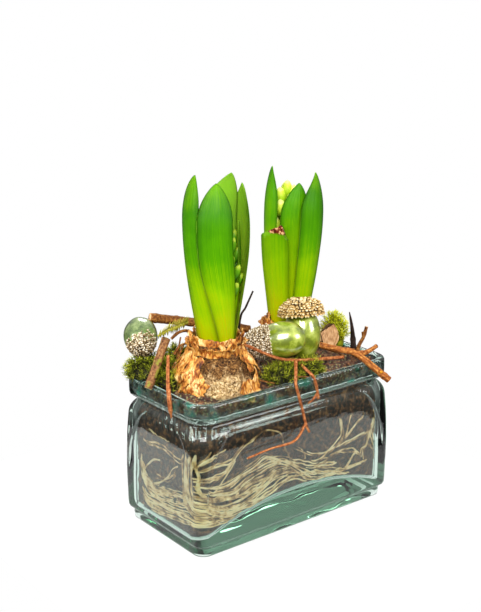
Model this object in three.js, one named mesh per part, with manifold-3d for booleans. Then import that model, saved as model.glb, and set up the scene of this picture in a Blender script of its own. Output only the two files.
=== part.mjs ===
// Two hyacinth bulbs forced in one rectangular pressed-glass vase, in leaf and in green bud, with their
// roots showing through the glass and a dressing of moss, lacquered acorns and twigs.
// Millimetres, +Z up. The origin is the centre of the vase's flat base. X runs along the vase's long
// side, and its long front face looks towards -Y.

import * as THREE from 'three';
import { mergeVertices } from 'three/addons/utils/BufferGeometryUtils.js';
import Module from 'manifold-3d';

const wasm = await Module();
wasm.setup();
const { Vector3 } = THREE;
const { clamp, degToRad, lerp, smoothstep } = THREE.MathUtils;

// ---------------------------------------------------------------- driving dimensions

const gap = 0.3; // clearance between two pieces that touch

const vase = {
  length: 161,
  width: 85,
  height: 100,
  wall: 4.5,
  neckInset: 5, // how far the groove under the collar is drawn in
  panelDepth: 1, // how far the face panels lie behind the raised corners
  floorAtEnds: 8,
  floorRise: 17, // the inner floor arches up by this much in the middle
};

const rootSpace = 1.8; // between the soil and the glass, where the roots lie
const rootRadius = 0.6;

// Each plant stands on its own axis. Heights are above the table.
const plants = {
  front: {
    x: -42, y: -8.5, bulbRadius: 25.4, bulbFoot: 70, neck: 127.5, skirt: true, lean: [0, 0], seed: 11,
  },
  back: {
    x: 36.8, y: 15.2, bulbRadius: 20.5, bulbFoot: 79, neck: 120, skirt: false, lean: [0.02, -0.016], seed: 23,
  },
};
const neckRadius = 16.4; // outside of the bulb's neck
const neckHole = 13.7; // radius of the plain hole that the leaves stand in, wider at the top
const neckHoleDepth = 10.5;

// Angles round a plant are in degrees from the direction of the vase's front corner, anticlockwise
// from above.
const frontCorner = -128;

// A leaf is a blade wrapped round its plant's axis. `radius` and `turn` are its outer face's distance
// from the axis and its middle's angle at the foot, at its widest and at the tip.
const leaves = {
  front: [
    { radius: [12.8, 21.6, 13.5], turn: [28, -3, 4], halfWidth: 10.4, footShare: 0.6, tip: 226 },
    { radius: [10.2, 20.2, 14], turn: [-44, -60, -64], halfWidth: 10.8, footShare: 0.66, tip: 230.5 },
    { radius: [10.9, 18.8, 15.5], turn: [174, 168, 130], halfWidth: 11, footShare: 0.55, tip: 230 },
    { radius: [10.9, 21.2, 17], turn: [100, 111, 106], halfWidth: 12.2, footShare: 0.46, tip: 225 },
    { radius: [8.2, 15.6, 14.4], turn: [62, 90, 92], halfWidth: 4.4, footShare: 0.7, tip: 203 },
  ],
  back: [
    {
      radius: [12.8, 21.4, 15], turn: [-38, -46, -46], halfWidth: 10.8, footShare: 0.6, tip: 222, tornAt: 184,
    },
    { radius: [10.2, 18.9, 15.4], turn: [-82, -56, -72], halfWidth: 10, footShare: 0.5, tip: 226.5 },
    { radius: [9.4, 16.6, 12], turn: [8, 0, 15], halfWidth: 10.4, footShare: 0.56, tip: 216.5 },
    { radius: [12, 20.8, 15.2], turn: [50, 43, 68], halfWidth: 10.8, footShare: 0.56, tip: 222.5 },
    { radius: [10.6, 17.6, 14], turn: [160, 165, 170], halfWidth: 10, footShare: 0.62, tip: 196 },
  ],
};
const leafWidest = 0.75; // share of a leaf's height at which it stands furthest from the axis
const leafTipLength = 22; // the tip narrows over this length
const leafThickness = { foot: 2.3, tip: 1.6 };

// The flower spike stands a little off its plant's axis, towards the angle `turn`.
const spikes = {
  front: { offset: 3, turn: 100, top: 208, headFoot: 152, budRadius: 2.8 },
  back: { offset: 2, turn: -50, top: 213, headFoot: 156, budRadius: 3.2 },
};

const acorns = {
  left: {
    centre: [-71.3, 32.5, 125], axis: [4.6, 9, 3.6], radius: 10.8, halfLength: 13, capRim: -2.5,
    capLength: 14.5, capRadius: 11.4,
  },
  middle: {
    centre: [1.9, -20.2, 121.4], axis: [15.9, -12.2, 2.4], radius: 11.9, halfLength: 15.4, capRim: -8.4,
    capLength: 25, capRadius: 12,
  },
  right: {
    centre: [25.5, -12.5, 119.5], axis: [0.04, 0.02, -1], radius: 12.1, halfLength: 17.4, capRim: -14,
    capLength: 23.2, capRadius: 14.6, hollow: { radius: 12.2, depth: 3.8 },
  },
};

// Twigs: points along the middle, the radius at each end, and forks that leave the main stem.
const twigs = {
  twig_left_thick: {
    colour: '#8a5a35', radii: [2.6, 2.7],
    points: [[-84.2, 5.2, 100.3], [-76.8, 7, 113], [-66, 11.6, 127.4]],
  },
  twig_left_thin: {
    colour: '#9c5a34', radii: [0.6, 1.4],
    points: [[-82, -16.4, 87], [-81.7, -13.9, 99], [-79, -8.9, 107.4], [-73, -0.7, 121]],
  },
  twig_back: {
    colour: '#7d4b31', radii: [3, 2.8],
    points: [[-61.1, 37.1, 134.4], [-28, 27.5, 127], [5, 17.5, 119]],
  },
  twig_black_bent: {
    colour: '#33231d', radii: [0.9, 0.6],
    points: [[-14, 8, 100], [-11.3, 6.6, 131], [-7.4, 5.6, 139], [-2.4, 4.3, 149.4]],
  },
  twig_red: {
    colour: '#b4532d', radii: [0.9, 1.1],
    points: [[-28.2, -19.4, 124], [-9.4, -28, 113.8], [5.3, -30, 109.6], [24, -31.5, 107], [43, -34.2, 105]],
    forks: [
      {
        radii: [1.1, 0.8],
        points: [
          [5.3, -30, 109.6], [-4.6, -41.6, 105.6], [-7.4, -45.2, 99.8], [-2.5, -44.9, 85.3], [2, -44.8, 70.7],
          [4.7, -44.9, 65.4],
        ],
      },
      {
        radii: [0.9, 0.6],
        points: [[1.2, -44.9, 71.6], [-8, -45.2, 62.6], [-27.6, -44.9, 62.2], [-45.8, -44.9, 60.6]],
      },
    ],
  },
  twig_red_short: {
    colour: '#a05a33', radii: [1, 0.9],
    points: [[10.5, -34.6, 107.2], [5.2, -40.6, 106.2], [8.6, -43.8, 101], [11.2, -43.8, 93.8], [12.7, -43.8, 86]],
    forks: [{ radii: [0.9, 0.5], points: [[12, -43.8, 90], [8, -44, 86.4], [4, -44, 84.6]] }],
  },
  twig_forked: {
    colour: '#b0663c', radii: [1.9, 2.4],
    points: [[30.7, -24.1, 113.4], [42, -33, 110.6], [53, -40.5, 107.3], [66, -54, 89.6]],
    forks: [{ radii: [1.6, 1.3], points: [[52, -40, 107.5], [62, -39.4, 107.6], [70.5, -38, 109.4]] }],
  },
  twig_pointed: {
    colour: '#2f1f1b', radii: [1.6, 0.5],
    points: [[70.5, -15, 96], [71, -15, 106], [69.8, -15, 118], [68.5, -15, 128]],
  },
  twig_small_fork: {
    colour: '#7a4a33', radii: [1.3, 0.9],
    points: [[67, -23, 96], [69.4, -24, 106], [73.4, -26, 113], [75.2, -27, 121]],
    forks: [{ radii: [0.9, 0.6], points: [[73.4, -26, 113], [74.6, -23, 116]] }],
  },
};

// Moss cushions: centre and half sizes of each low dome.
const moss = {
  moss_left: [
    { centre: [-70.5, 25, 99], half: [12.5, 14, 14] },
    { centre: [-52, 18.5, 104], half: [9.5, 9.5, 20.5] },
    { centre: [-63.5, 10.5, 101], half: [9, 9, 20] },
  ],
  moss_front: [
    { centre: [-7, -29.5, 99], half: [11, 7.5, 8.5] },
    { centre: [13, -30.5, 98.5], half: [14, 6.6, 8] },
  ],
  moss_right: [{ centre: [69, 3, 106], half: [7, 8, 15] }],
  moss_back: [{ centre: [-6, 29, 99], half: [21, 7.5, 8] }, { centre: [60, 27, 98], half: [12, 8, 9] }],
};

// Roots lie on the glass. Each strand is a list of [distance round the wall from the front corner,
// height]; a positive distance runs along the long front face, a negative one along the short face.
const rootCrowns = { front: [1.5, 71], back: [122, 70] };
const rootStrands = {
  front: [
    [[-12, 62], [-26, 58], [-40, 64], [-56, 71]],
    [[-12, 50], [-30, 42], [-50, 31], [-62, 42], [-50, 50], [-34, 46]],
    [[-7, 50], [-20, 38], [-44, 36], [-58, 37], [-64, 48]],
    [[-3, 42], [-6, 26], [-16, 18], [-43, 17], [-58, 22], [-64, 32]],
    [[0, 44], [5, 28], [16, 21]],
    [[4, 44], [10, 31], [24, 26], [42, 28], [58, 35], [72, 39], [88, 34]],
    [[8, 47], [20, 40], [33, 44], [45, 52], [58, 54], [72, 49], [84, 38], [98, 28], [120, 22]],
    [[10, 57], [20, 53], [29, 57], [40, 66]],
    [[12, 64], [27, 51], [36, 60], [45, 68], [55, 70], [64, 62], [70, 51], [86, 42]],
  ],
  back: [
    [[106, 62], [92, 53], [98, 44], [120, 37], [139, 30]],
    [[113, 56], [104, 46], [90, 37]],
    [[120, 54], [121, 43], [108, 38]],
    [[129, 54], [130, 42], [124, 31], [112, 27]],
    [[136, 63], [145, 55], [144, 30], [148, 26], [150, 40]],
  ],
};

const colours = {
  glass: '#8fb3a4', soil: '#2c211b', tunic: '#c2904f', leaf: '#5aa512', bud: '#a8c63c', root: '#ddd3ac',
  nut: '#8db659', cap: '#9a8a70', moss: '#5b7a17', dryLeaf: '#c3a27a',
};

// ---------------------------------------------------------------- shaping helpers

// A repeatable run of numbers between 0 and 1.
function randomFrom(seed) {
  let state = seed;
  return () => {
    state = (state * 1664525 + 1013904223) % 4294967296;
    return state / 4294967296;
  };
}

// Closed geometry from points and triangles, turned so that its faces point out.
function closedGeometry(points, triangles) {
  let volume = 0;
  triangles.forEach(([a, b, c]) => {
    volume += points[a].dot(new Vector3().crossVectors(points[b], points[c]));
  });
  const geometry = new THREE.BufferGeometry();
  geometry.setAttribute('position', new THREE.Float32BufferAttribute(points.flatMap((p) => p.toArray()), 3));
  geometry.setIndex(triangles.flatMap(([a, b, c]) => (volume > 0 ? [a, b, c] : [a, c, b])));
  return geometry;
}

// A skin over a row of rings with the same number of points, closed by a fan at each end.
function skin(rings) {
  const count = rings[0].length;
  const points = rings.flat();
  const triangles = [];
  for (let r = 0; r + 1 < rings.length; r += 1) {
    for (let i = 0; i < count; i += 1) {
      const a = r * count + i;
      const b = r * count + ((i + 1) % count);
      triangles.push([a, b, b + count], [a, b + count, a + count]);
    }
  }
  [0, rings.length - 1].forEach((r, end) => {
    const middle = points.length;
    points.push(rings[r].reduce((sum, p) => sum.add(p), new Vector3()).divideScalar(count));
    for (let i = 0; i < count; i += 1) {
      const a = r * count + i;
      const b = r * count + ((i + 1) % count);
      triangles.push(end ? [middle, a, b] : [middle, b, a]);
    }
  });
  return closedGeometry(points, triangles);
}

// A solid between two sheets of columns x rows cells. pointAt(u, v, side) gives the point of sheet 0
// or 1 at u and v between 0 and 1. Both sheets are split along the same diagonals.
function sheetSolid(columns, rows, pointAt) {
  const points = [];
  const triangles = [];
  const at = (side, i, j) => side * (columns + 1) * (rows + 1) + j * (columns + 1) + i;
  [0, 1].forEach((side) => {
    for (let j = 0; j <= rows; j += 1) {
      for (let i = 0; i <= columns; i += 1) points.push(pointAt(i / columns, j / rows, side));
    }
  });
  for (let j = 0; j < rows; j += 1) {
    for (let i = 0; i < columns; i += 1) {
      [0, 1].forEach((side) => {
        const [a, b] = [at(side, i, j), at(side, i + 1, j)];
        const [c, d] = [at(side, i + 1, j + 1), at(side, i, j + 1)];
        triangles.push(...(side ? [[a, c, b], [a, d, c]] : [[a, b, c], [a, c, d]]));
      });
    }
  }
  const edge = [];
  for (let i = 0; i < columns; i += 1) edge.push([i, 0]);
  for (let j = 0; j < rows; j += 1) edge.push([columns, j]);
  for (let i = columns; i > 0; i -= 1) edge.push([i, rows]);
  for (let j = rows; j > 0; j -= 1) edge.push([0, j]);
  edge.forEach(([i, j], n) => {
    const [k, l] = edge[(n + 1) % edge.length];
    const [a, b, c, d] = [at(0, i, j), at(0, k, l), at(1, k, l), at(1, i, j)];
    triangles.push([a, d, c], [a, c, b]);
  });
  return closedGeometry(points, triangles);
}

// A round limb along a smooth curve through points, tapering from one radius to the other.
function limb(points, [startRadius, endRadius], sides, steps) {
  const curve = new THREE.CatmullRomCurve3(points.map((p) => new Vector3(...p)), false, 'centripetal');
  const frames = curve.computeFrenetFrames(steps);
  const rings = frames.tangents.map((tangent, step) => {
    const middle = curve.getPointAt(step / steps);
    const radius = lerp(startRadius, endRadius, step / steps);
    return Array.from({ length: sides }, (_, i) => {
      const angle = (2 * Math.PI * i) / sides;
      return middle.clone()
        .addScaledVector(frames.normals[step], radius * Math.cos(angle))
        .addScaledVector(frames.binormals[step], radius * Math.sin(angle));
    });
  });
  return skin(rings);
}

// A level ring round the Z axis. pointAt(angle) gives its [radius, height].
function levelRing(count, pointAt) {
  return Array.from({ length: count }, (_, i) => {
    const angle = (2 * Math.PI * i) / count;
    const [radius, height] = pointAt(angle, i);
    return new Vector3(radius * Math.cos(angle), radius * Math.sin(angle), height);
  });
}

function toSolid(geometry) {
  const plain = geometry.clone();
  ['normal', 'uv'].forEach((name) => plain.deleteAttribute(name));
  const welded = mergeVertices(plain, 1e-4);
  return new wasm.Manifold(new wasm.Mesh({
    numProp: 3,
    vertProperties: new Float32Array(welded.attributes.position.array),
    triVerts: new Uint32Array(welded.index.array),
  }));
}

function toGeometry(solid) {
  const mesh = solid.getMesh();
  const geometry = new THREE.BufferGeometry();
  geometry.setAttribute('position', new THREE.BufferAttribute(new Float32Array(mesh.vertProperties), 3));
  geometry.setIndex(new THREE.BufferAttribute(new Uint32Array(mesh.triVerts), 1));
  return geometry;
}

const joined = (solids) => solids.reduce((sum, next) => sum.add(next));
const cutBy = (solid, cutters) => cutters.reduce((rest, cutter) => rest.subtract(cutter), solid);

// The largest body of a solid: loose scraps that a cut leaves behind are dropped.
function largestBody(solid) {
  return solid.decompose().reduce((best, next) => (next.volume() > best.volume() ? next : best));
}

// A solid moved to where an object of the scene graph stands.
function placed(geometry, object) {
  object.updateWorldMatrix(true, false);
  return toSolid(geometry.clone().applyMatrix4(object.matrixWorld));
}

// ---------------------------------------------------------------- scene graph

const model = new THREE.Group();

function addPiece(name, geometry, colour, parent = model, finish = {}) {
  const material = new THREE.MeshStandardMaterial({ color: colour, roughness: 0.7, metalness: 0, ...finish });
  const mesh = new THREE.Mesh(geometry, material);
  mesh.name = name;
  parent.add(mesh);
  return mesh;
}

// ---------------------------------------------------------------- vase

const halfLength = vase.length / 2;
const halfWidth = vase.width / 2;

// Raised corners: their width from the sharp corner grows from the middle of the wall to the shoulder.
const postFoot = { height: 37, width: 6 };
const postTop = { height: 84, width: 27 };
function postWidth(z) {
  const share = clamp((z - postFoot.height) / (postTop.height - postFoot.height), 0, 1);
  return lerp(postFoot.width, postTop.width, share ** 2.2);
}
const panelDepthAt = (z) => vase.panelDepth * smoothstep(z, 32, 46) * (1 - smoothstep(z, 78, 82));

// A rounded rectangle, anticlockwise. With a post width it also has the panel's two edges on each side.
function wallRing([z, inset, cornerRadius], segments, post = 0) {
  const halfX = halfLength - inset;
  const halfY = halfWidth - inset;
  const depth = panelDepthAt(z);
  const points = [];
  [[1, -1, -90], [1, 1, 0], [-1, 1, 90], [-1, -1, 180]].forEach(([signX, signY, start]) => {
    for (let i = 0; i <= segments; i += 1) {
      const angle = degToRad(start + (90 * i) / segments);
      points.push(new Vector3(
        signX * (halfX - cornerRadius) + cornerRadius * Math.cos(angle),
        signY * (halfY - cornerRadius) + cornerRadius * Math.sin(angle),
        z,
      ));
    }
    if (!post) return;
    const facing = degToRad(start + 90);
    const outward = new Vector3(Math.round(Math.cos(facing)), Math.round(Math.sin(facing)), 0);
    const along = new Vector3(-outward.y, outward.x, 0);
    const reach = Math.abs(outward.x) * halfX + Math.abs(outward.y) * halfY;
    const halfSide = Math.abs(along.x) * halfX + Math.abs(along.y) * halfY;
    const edge = halfSide - post;
    [[-edge, 0], [-edge + 0.8, depth], [edge - 0.8, depth], [edge, 0]].forEach(([run, back]) => {
      points.push(outward.clone().multiplyScalar(reach - back).addScaledVector(along, run).setZ(z));
    });
  });
  return points;
}

// Height, inset and corner radius of the outside, from the foot to the rim.
const outsideStations = [
  [0, 3.4, 7], [1.6, 2.2, 8], [6.4, 2.1, 8], [8, 0.5, 7], [12, 0, 6], [37, 0, 5], [50, 0, 6], [61, 0, 7.5],
  [70, 0, 9.5], [76.5, 0.2, 11], [80.5, 1.6, 12], [83.4, 4.6, 11], [85, vase.neckInset, 11], [86.6, 4, 11.5],
  [87.6, 0.6, 12.5], [98.4, 0, 13], [vase.height, 1.4, 12],
];

// The inside, which follows the neck. The soil repeats it, drawn in by a clearance of its own.
const insideStations = [
  [2, vase.wall, 8.8], [70, vase.wall, 9], [76, 5.2, 10], [81.5, 8, 11], [86.5, 8, 11], [90.5, 4.9, 10],
  [130, 4.3, 9.5],
];

const floorHeight = (x) => {
  const share = clamp((x + halfLength - vase.wall) / (vase.length - 2 * vase.wall), 0, 1);
  return vase.floorAtEnds + vase.floorRise * Math.sin(Math.PI * share) ** 0.7;
};

// The block of glass under the arched inner floor, raised by a clearance for the soil's underside.
function floorBlock(raise) {
  const outline = new THREE.Shape();
  const steps = 14;
  outline.moveTo(-halfLength, -10);
  outline.lineTo(halfLength, -10);
  for (let i = 0; i <= steps; i += 1) {
    const x = lerp(halfLength - vase.wall + 0.5, -halfLength + vase.wall - 0.5, i / steps);
    outline.lineTo(x, floorHeight(x) + raise);
  }
  const block = new THREE.ExtrudeGeometry(outline, { depth: vase.width, bevelEnabled: false });
  block.rotateX(Math.PI / 2).translate(0, halfWidth, 0);
  return toSolid(block);
}

const outsideRings = outsideStations.map((station) => {
  const [z, , cornerRadius] = station;
  return wallRing(station, 3, Math.max(postWidth(z), cornerRadius + 1));
});
const vaseOutside = toSolid(skin(outsideRings));
const vaseHollow = toSolid(skin(insideStations.map((s) => wallRing(s, 4)))).subtract(floorBlock(0));
addPiece('vase', toGeometry(vaseOutside.subtract(vaseHollow)), colours.glass, model, {
  roughness: 0.05, transparent: true, opacity: 0.4,
});

// ---------------------------------------------------------------- plants: bulbs, leaves, spikes

// A leaf's radius or turn at a share s of its height, from its values at the foot, widest and tip.
function blend([foot, widest, tip], s) {
  if (s <= leafWidest) return lerp(foot, widest, Math.sin((Math.PI / 2) * (s / leafWidest)) ** 1.25);
  return lerp(widest, tip, ((s - leafWidest) / (1 - leafWidest)) ** 2);
}

function leafGeometry(leaf, plant, foot) {
  const top = leaf.tornAt ?? leaf.tip - 0.5;
  return sheetSolid(4, 10, (u, v, side) => {
    // Rows lie closer together towards the tip, and a torn top is ragged.
    const ragged = leaf.tornAt && v === 1 ? 1.6 * Math.sin(u * 9) : 0;
    const z = lerp(foot, top, leaf.tornAt ? v : 1 - (1 - v) ** 1.45) + ragged;
    const s = (z - foot) / (leaf.tip - foot);
    const across = 2 * u - 1;
    const half = leaf.halfWidth * Math.sin((Math.PI / 2) * Math.min(1, (leaf.tip - z) / leafTipLength))
      * lerp(leaf.footShare, 1, smoothstep(s, 0, 0.6));
    const thickness = lerp(leafThickness.foot, leafThickness.tip, s) * (1 - 0.58 * across ** 2);
    const radius = blend(leaf.radius, s);
    const angle = degToRad(frontCorner + blend(leaf.turn, s)) + (across * half) / radius;
    const reach = radius - side * thickness;
    return new Vector3(
      reach * Math.cos(angle) + plant.lean[0] * (z - foot),
      reach * Math.sin(angle) + plant.lean[1] * (z - foot),
      z,
    );
  });
}

// Outline of a bulb: [share of the height from its foot to its neck, share of its largest radius].
const bulbOutline = [
  [0, 0.3], [0.05, 0.62], [0.16, 0.87], [0.32, 0.99], [0.5, 1], [0.64, 0.97], [0.75, 0.88], [0.85, 0.72],
  [0.93, 0.63],
];

function bulbRadiusAt(plant, share) {
  const next = bulbOutline.findIndex(([s]) => s >= share);
  if (next <= 0) return plant.bulbRadius * (next ? bulbOutline.at(-1)[1] : bulbOutline[0][1]);
  const [[s0, r0], [s1, r1]] = [bulbOutline[next - 1], bulbOutline[next]];
  return plant.bulbRadius * lerp(r0, r1, (share - s0) / (s1 - s0));
}

// A papery flake of husk, clinging at its top and standing off by `lift` at its lower edge.
function huskFlake(plant, { turn, width, top, bottom, lift }) {
  return toSolid(sheetSolid(4, 2, (u, v, side) => {
    const across = 2 * u - 1;
    const share = lerp(top, bottom + 0.025 * Math.sin(u * 11 + turn), v);
    const standOff = lift * v ** 1.5 * (1 + 0.25 * Math.sin(u * 8 + turn));
    const reach = bulbRadiusAt(plant, share) * 0.985 + standOff + (side ? -3 : 0.5);
    const angle = degToRad(frontCorner + turn + (across * width) / 2);
    const z = lerp(plant.bulbFoot, plant.neck, share);
    return new Vector3(reach * Math.cos(angle), reach * Math.sin(angle), z);
  }));
}

function bulbGeometry(plant) {
  const sides = 18;
  const phase = plant.seed;
  const rings = bulbOutline.map(([share, size]) => levelRing(sides, (angle) => {
    const folds = 1 + 0.014 * Math.sin(7 * angle + phase + 4 * share) + 0.012 * Math.sin(11 * angle - phase);
    return [plant.bulbRadius * size * folds, lerp(plant.bulbFoot, plant.neck, share)];
  }));
  // The collar's papery edge is ragged.
  rings.push(levelRing(sides, (angle) => [neckRadius - 0.6, plant.neck + 0.6 * Math.sin(5 * angle)]));
  rings.push(levelRing(sides, (angle, i) => [
    neckRadius + 0.5 * Math.sin(3 * angle + phase),
    plant.neck + 2.2 + 1.3 * Math.sin(4 * angle + phase) + (i % 2 ? 1 : -0.6),
  ]));
  const random = randomFrom(plant.seed);
  const flakes = [];
  for (let n = 0; n < 4; n += 1) {
    const top = lerp(0.66, 0.8, random());
    const turn = n * 90 + 14 * random() - 10;
    const width = lerp(48, 60, random());
    const bottom = top - lerp(0.2, 0.3, random());
    const lift = lerp(0.6, 1.8, random());
    flakes.push(huskFlake(plant, { turn, width, top, bottom, lift }));
  }
  if (plant.skirt) {
    flakes.push(huskFlake(plant, { turn: -62, width: 96, top: 0.62, bottom: 0.34, lift: 2.6 }));
    flakes.push(huskFlake(plant, { turn: 62, width: 60, top: 0.6, bottom: 0.4, lift: 1.4 }));
  }
  const hole = new THREE.CylinderGeometry(neckHole + 2.2, neckHole, 2 * neckHoleDepth, 20);
  hole.rotateX(Math.PI / 2).translate(0, 0, plant.neck);
  return toGeometry(largestBody(joined([toSolid(skin(rings)), ...flakes]).subtract(toSolid(hole))));
}

const goldenAngle = 137.5; // degrees from one bud, or tuft of moss, to the next

function spikeGeometry(spike, foot) {
  const shift = degToRad(frontCorner + spike.turn);
  const [x, y] = [spike.offset * Math.cos(shift), spike.offset * Math.sin(shift)];
  const middleOfHead = lerp(spike.headFoot, spike.top, 0.5);
  const stations = [[foot, 4.4], [spike.headFoot, 4], [middleOfHead, 4.6], [spike.top - 6, 3]];
  const stemRings = stations.map(([z, radius], n) => {
    const offset = n ? new Vector3(x, y, 0) : new Vector3();
    return levelRing(8, () => [radius, z]).map((p) => p.add(offset));
  });
  const parts = [toSolid(skin(stemRings))];
  const buds = 19;
  for (let n = 0; n < buds; n += 1) {
    const share = n / (buds - 1);
    const tilt = degToRad(lerp(24, 4, share));
    const bud = new THREE.SphereGeometry(1, 5, 3);
    bud.rotateX(Math.PI / 2).scale(spike.budRadius, spike.budRadius, 5.6).translate(0, 0, 3.4);
    const standOff = lerp(spike.budRadius * 1.9, 0.4, share ** 5);
    bud.rotateY(tilt).translate(standOff, 0, 0).rotateZ(degToRad(goldenAngle * n));
    bud.translate(x, y, lerp(spike.headFoot, spike.top - 8, share));
    parts.push(toSolid(bud));
  }
  return toGeometry(largestBody(joined(parts)));
}

const plantGroups = {};
Object.entries(plants).forEach(([side, plant]) => {
  const group = new THREE.Group();
  group.position.set(plant.x, plant.y, 0);
  model.add(group);
  plantGroups[side] = group;
  const foot = plant.neck - neckHoleDepth + gap;
  addPiece(`bulb_${side}`, bulbGeometry(plant), colours.tunic, group);
  leaves[side].forEach((leaf, n) => {
    const blade = leafGeometry(leaf, plant, foot);
    addPiece(`leaf_${side}_${n + 1}`, blade, colours.leaf, group, { roughness: 0.4 });
  });
  addPiece(`spike_${side}`, spikeGeometry(spikes[side], foot), colours.bud, group, { roughness: 0.5 });
});

// ---------------------------------------------------------------- acorns and caps

// The nut's axis is local Z: its tip points up, and its cap covers the lower end.
function nutGeometry({ radius, halfLength: reach }, clearance = 0) {
  const profile = [];
  const steps = 8;
  for (let i = 0; i <= steps; i += 1) {
    const angle = -Math.PI / 2 + (Math.PI * i) / steps;
    const wide = i === 0 || i === steps ? 0 : (radius + clearance) * Math.cos(angle) ** 0.85;
    profile.push(new THREE.Vector2(wide, (reach + clearance) * Math.sin(angle)));
  }
  return new THREE.LatheGeometry(profile, 14).rotateX(Math.PI / 2);
}

// The cap's scales are raised in alternate rows, larger than life.
function capGeometry(acorn) {
  const rows = 6;
  const sides = 18;
  const rings = [];
  for (let row = 0; row <= rows; row += 1) {
    const share = row / rows;
    rings.push(levelRing(sides, (angle, i) => {
      const raised = row > 0 && row < rows && (i + row) % 2 ? 0.9 : 0;
      const dome = Math.sin((Math.PI / 2) * lerp(0.16, 1, share)) ** 0.8;
      const z = lerp(-acorn.capLength, acorn.capRim, share ** 1.35);
      return [acorn.capRadius * dome + raised, z - raised * 0.4];
    }));
  }
  const cutters = [toSolid(nutGeometry(acorn, gap))];
  if (acorn.hollow) {
    const { radius, depth } = acorn.hollow;
    const hollow = new THREE.SphereGeometry(1, 18, 10).scale(radius, radius, depth);
    cutters.push(toSolid(hollow.translate(0, 0, acorn.capRim)));
  }
  return toGeometry(largestBody(cutBy(toSolid(skin(rings)), cutters)));
}

const seated = []; // solids that soil and moss are cut back from
Object.entries(acorns).forEach(([side, acorn]) => {
  const group = new THREE.Group();
  group.position.set(...acorn.centre);
  group.quaternion.setFromUnitVectors(new Vector3(0, 0, 1), new Vector3(...acorn.axis).normalize());
  model.add(group);
  addPiece(`acorn_${side}`, nutGeometry(acorn), colours.nut, group, { roughness: 0.25 });
  addPiece(`cap_${side}`, capGeometry(acorn), colours.cap, group, { roughness: 0.85 });
  const envelope = nutGeometry({ radius: acorn.capRadius + 1.1, halfLength: acorn.capLength + 0.6 }, gap);
  const half = new THREE.BoxGeometry(60, 60, 60).translate(0, 0, acorn.capRim + 0.6 - 30);
  const capEnvelope = placed(envelope, group).intersect(placed(half, group));
  seated.push(placed(nutGeometry(acorn, gap), group).add(capEnvelope));
});

// ---------------------------------------------------------------- twigs

function twigSolid({ points, radii, forks = [] }, sides = 5, extra = 0) {
  const stems = [{ points, radii }, ...forks];
  return joined(stems.map((stem) => {
    const stemRadii = stem.radii.map((radius) => radius + extra);
    return toSolid(limb(stem.points, stemRadii, sides, 2 * stem.points.length));
  }));
}

Object.entries(twigs).forEach(([name, twig]) => {
  addPiece(name, toGeometry(largestBody(twigSolid(twig))), twig.colour, model, { roughness: 0.75 });
  seated.push(twigSolid(twig, 4, 2 * gap));
});

// ---------------------------------------------------------------- dry leaf

const dryLeaf = {
  centre: [56.5, -6, 109.3], halfLength: 8.5, halfWidth: 5.5, thickness: 1, turn: -52, tilt: 62,
};

function dryLeafGeometry(clearance = 0) {
  const solid = sheetSolid(4, 6, (u, v, side) => {
    const across = 2 * u - 1;
    const wide = dryLeaf.halfWidth * Math.sin(Math.PI * lerp(0.12, 0.9, v)) + clearance;
    const lift = 1.2 * across ** 2 + 0.8 * Math.sin(3 * v);
    const offset = (dryLeaf.thickness / 2 + clearance) * (side ? -1 : 1);
    return new Vector3(across * wide, (2 * v - 1) * (dryLeaf.halfLength + clearance), lift + offset);
  });
  solid.rotateX(degToRad(dryLeaf.tilt)).rotateZ(degToRad(dryLeaf.turn)).translate(...dryLeaf.centre);
  return solid;
}
addPiece('dry_leaf', dryLeafGeometry(), colours.dryLeaf);
seated.push(toSolid(dryLeafGeometry(gap)));

// ---------------------------------------------------------------- roots

// A point on the roots' layer, behind the glass: the wall's inside path with its round corners.
// `depth` is how far the point lies from that layer into the soil.
const rootInset = vase.wall + gap + rootRadius;
const rootCorner = 8;
function onWall(distance, z, depth = 0) {
  const [cornerX, cornerY] = [-halfLength + rootInset, -halfWidth + rootInset];
  const arc = (Math.PI / 4) * rootCorner;
  const straight = 2 * (-cornerX - rootCorner);
  const pastEnd = distance - arc - straight;
  // Above the wall's full width the roots follow the glass in towards the neck.
  const drawnIn = depth + 3.6 * smoothstep(z, 72, 82);
  if (distance < -arc) return new Vector3(cornerX + drawnIn, cornerY + rootCorner - distance - arc, z);
  if (distance > arc && pastEnd < 0) {
    return new Vector3(cornerX + rootCorner + distance - arc, cornerY + drawnIn, z);
  }
  const atEnd = pastEnd >= 0; // round the corner at the far end of the long face
  const angle = atEnd ? degToRad(-90) + pastEnd / rootCorner : degToRad(225) + distance / rootCorner;
  const reach = rootCorner - drawnIn;
  const centreX = (cornerX + rootCorner) * (atEnd ? -1 : 1);
  return new Vector3(centreX + reach * Math.cos(angle), cornerY + rootCorner + reach * Math.sin(angle), z);
}

// A crown is the place behind the glass where a plant's roots come out of the soil and spread.
const trunkRadius = 2.4;
const crownSpread = 9; // the strands start side by side over this width
const crownPocket = 8.5; // radius of the hollow in the soil where the strands turn to the glass
const crownDepth = 3.6; // of the crown behind the roots' layer
const crownPoint = (side) => onWall(...rootCrowns[side], crownDepth);
function trunkPoints(side) {
  const plant = plants[side];
  const start = [plant.x, plant.y, plant.bulbFoot - gap - 1.3 * trunkRadius];
  const end = crownPoint(side).toArray();
  return [start, start.map((value, n) => lerp(value, end[n], 0.5)), end];
}

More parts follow.
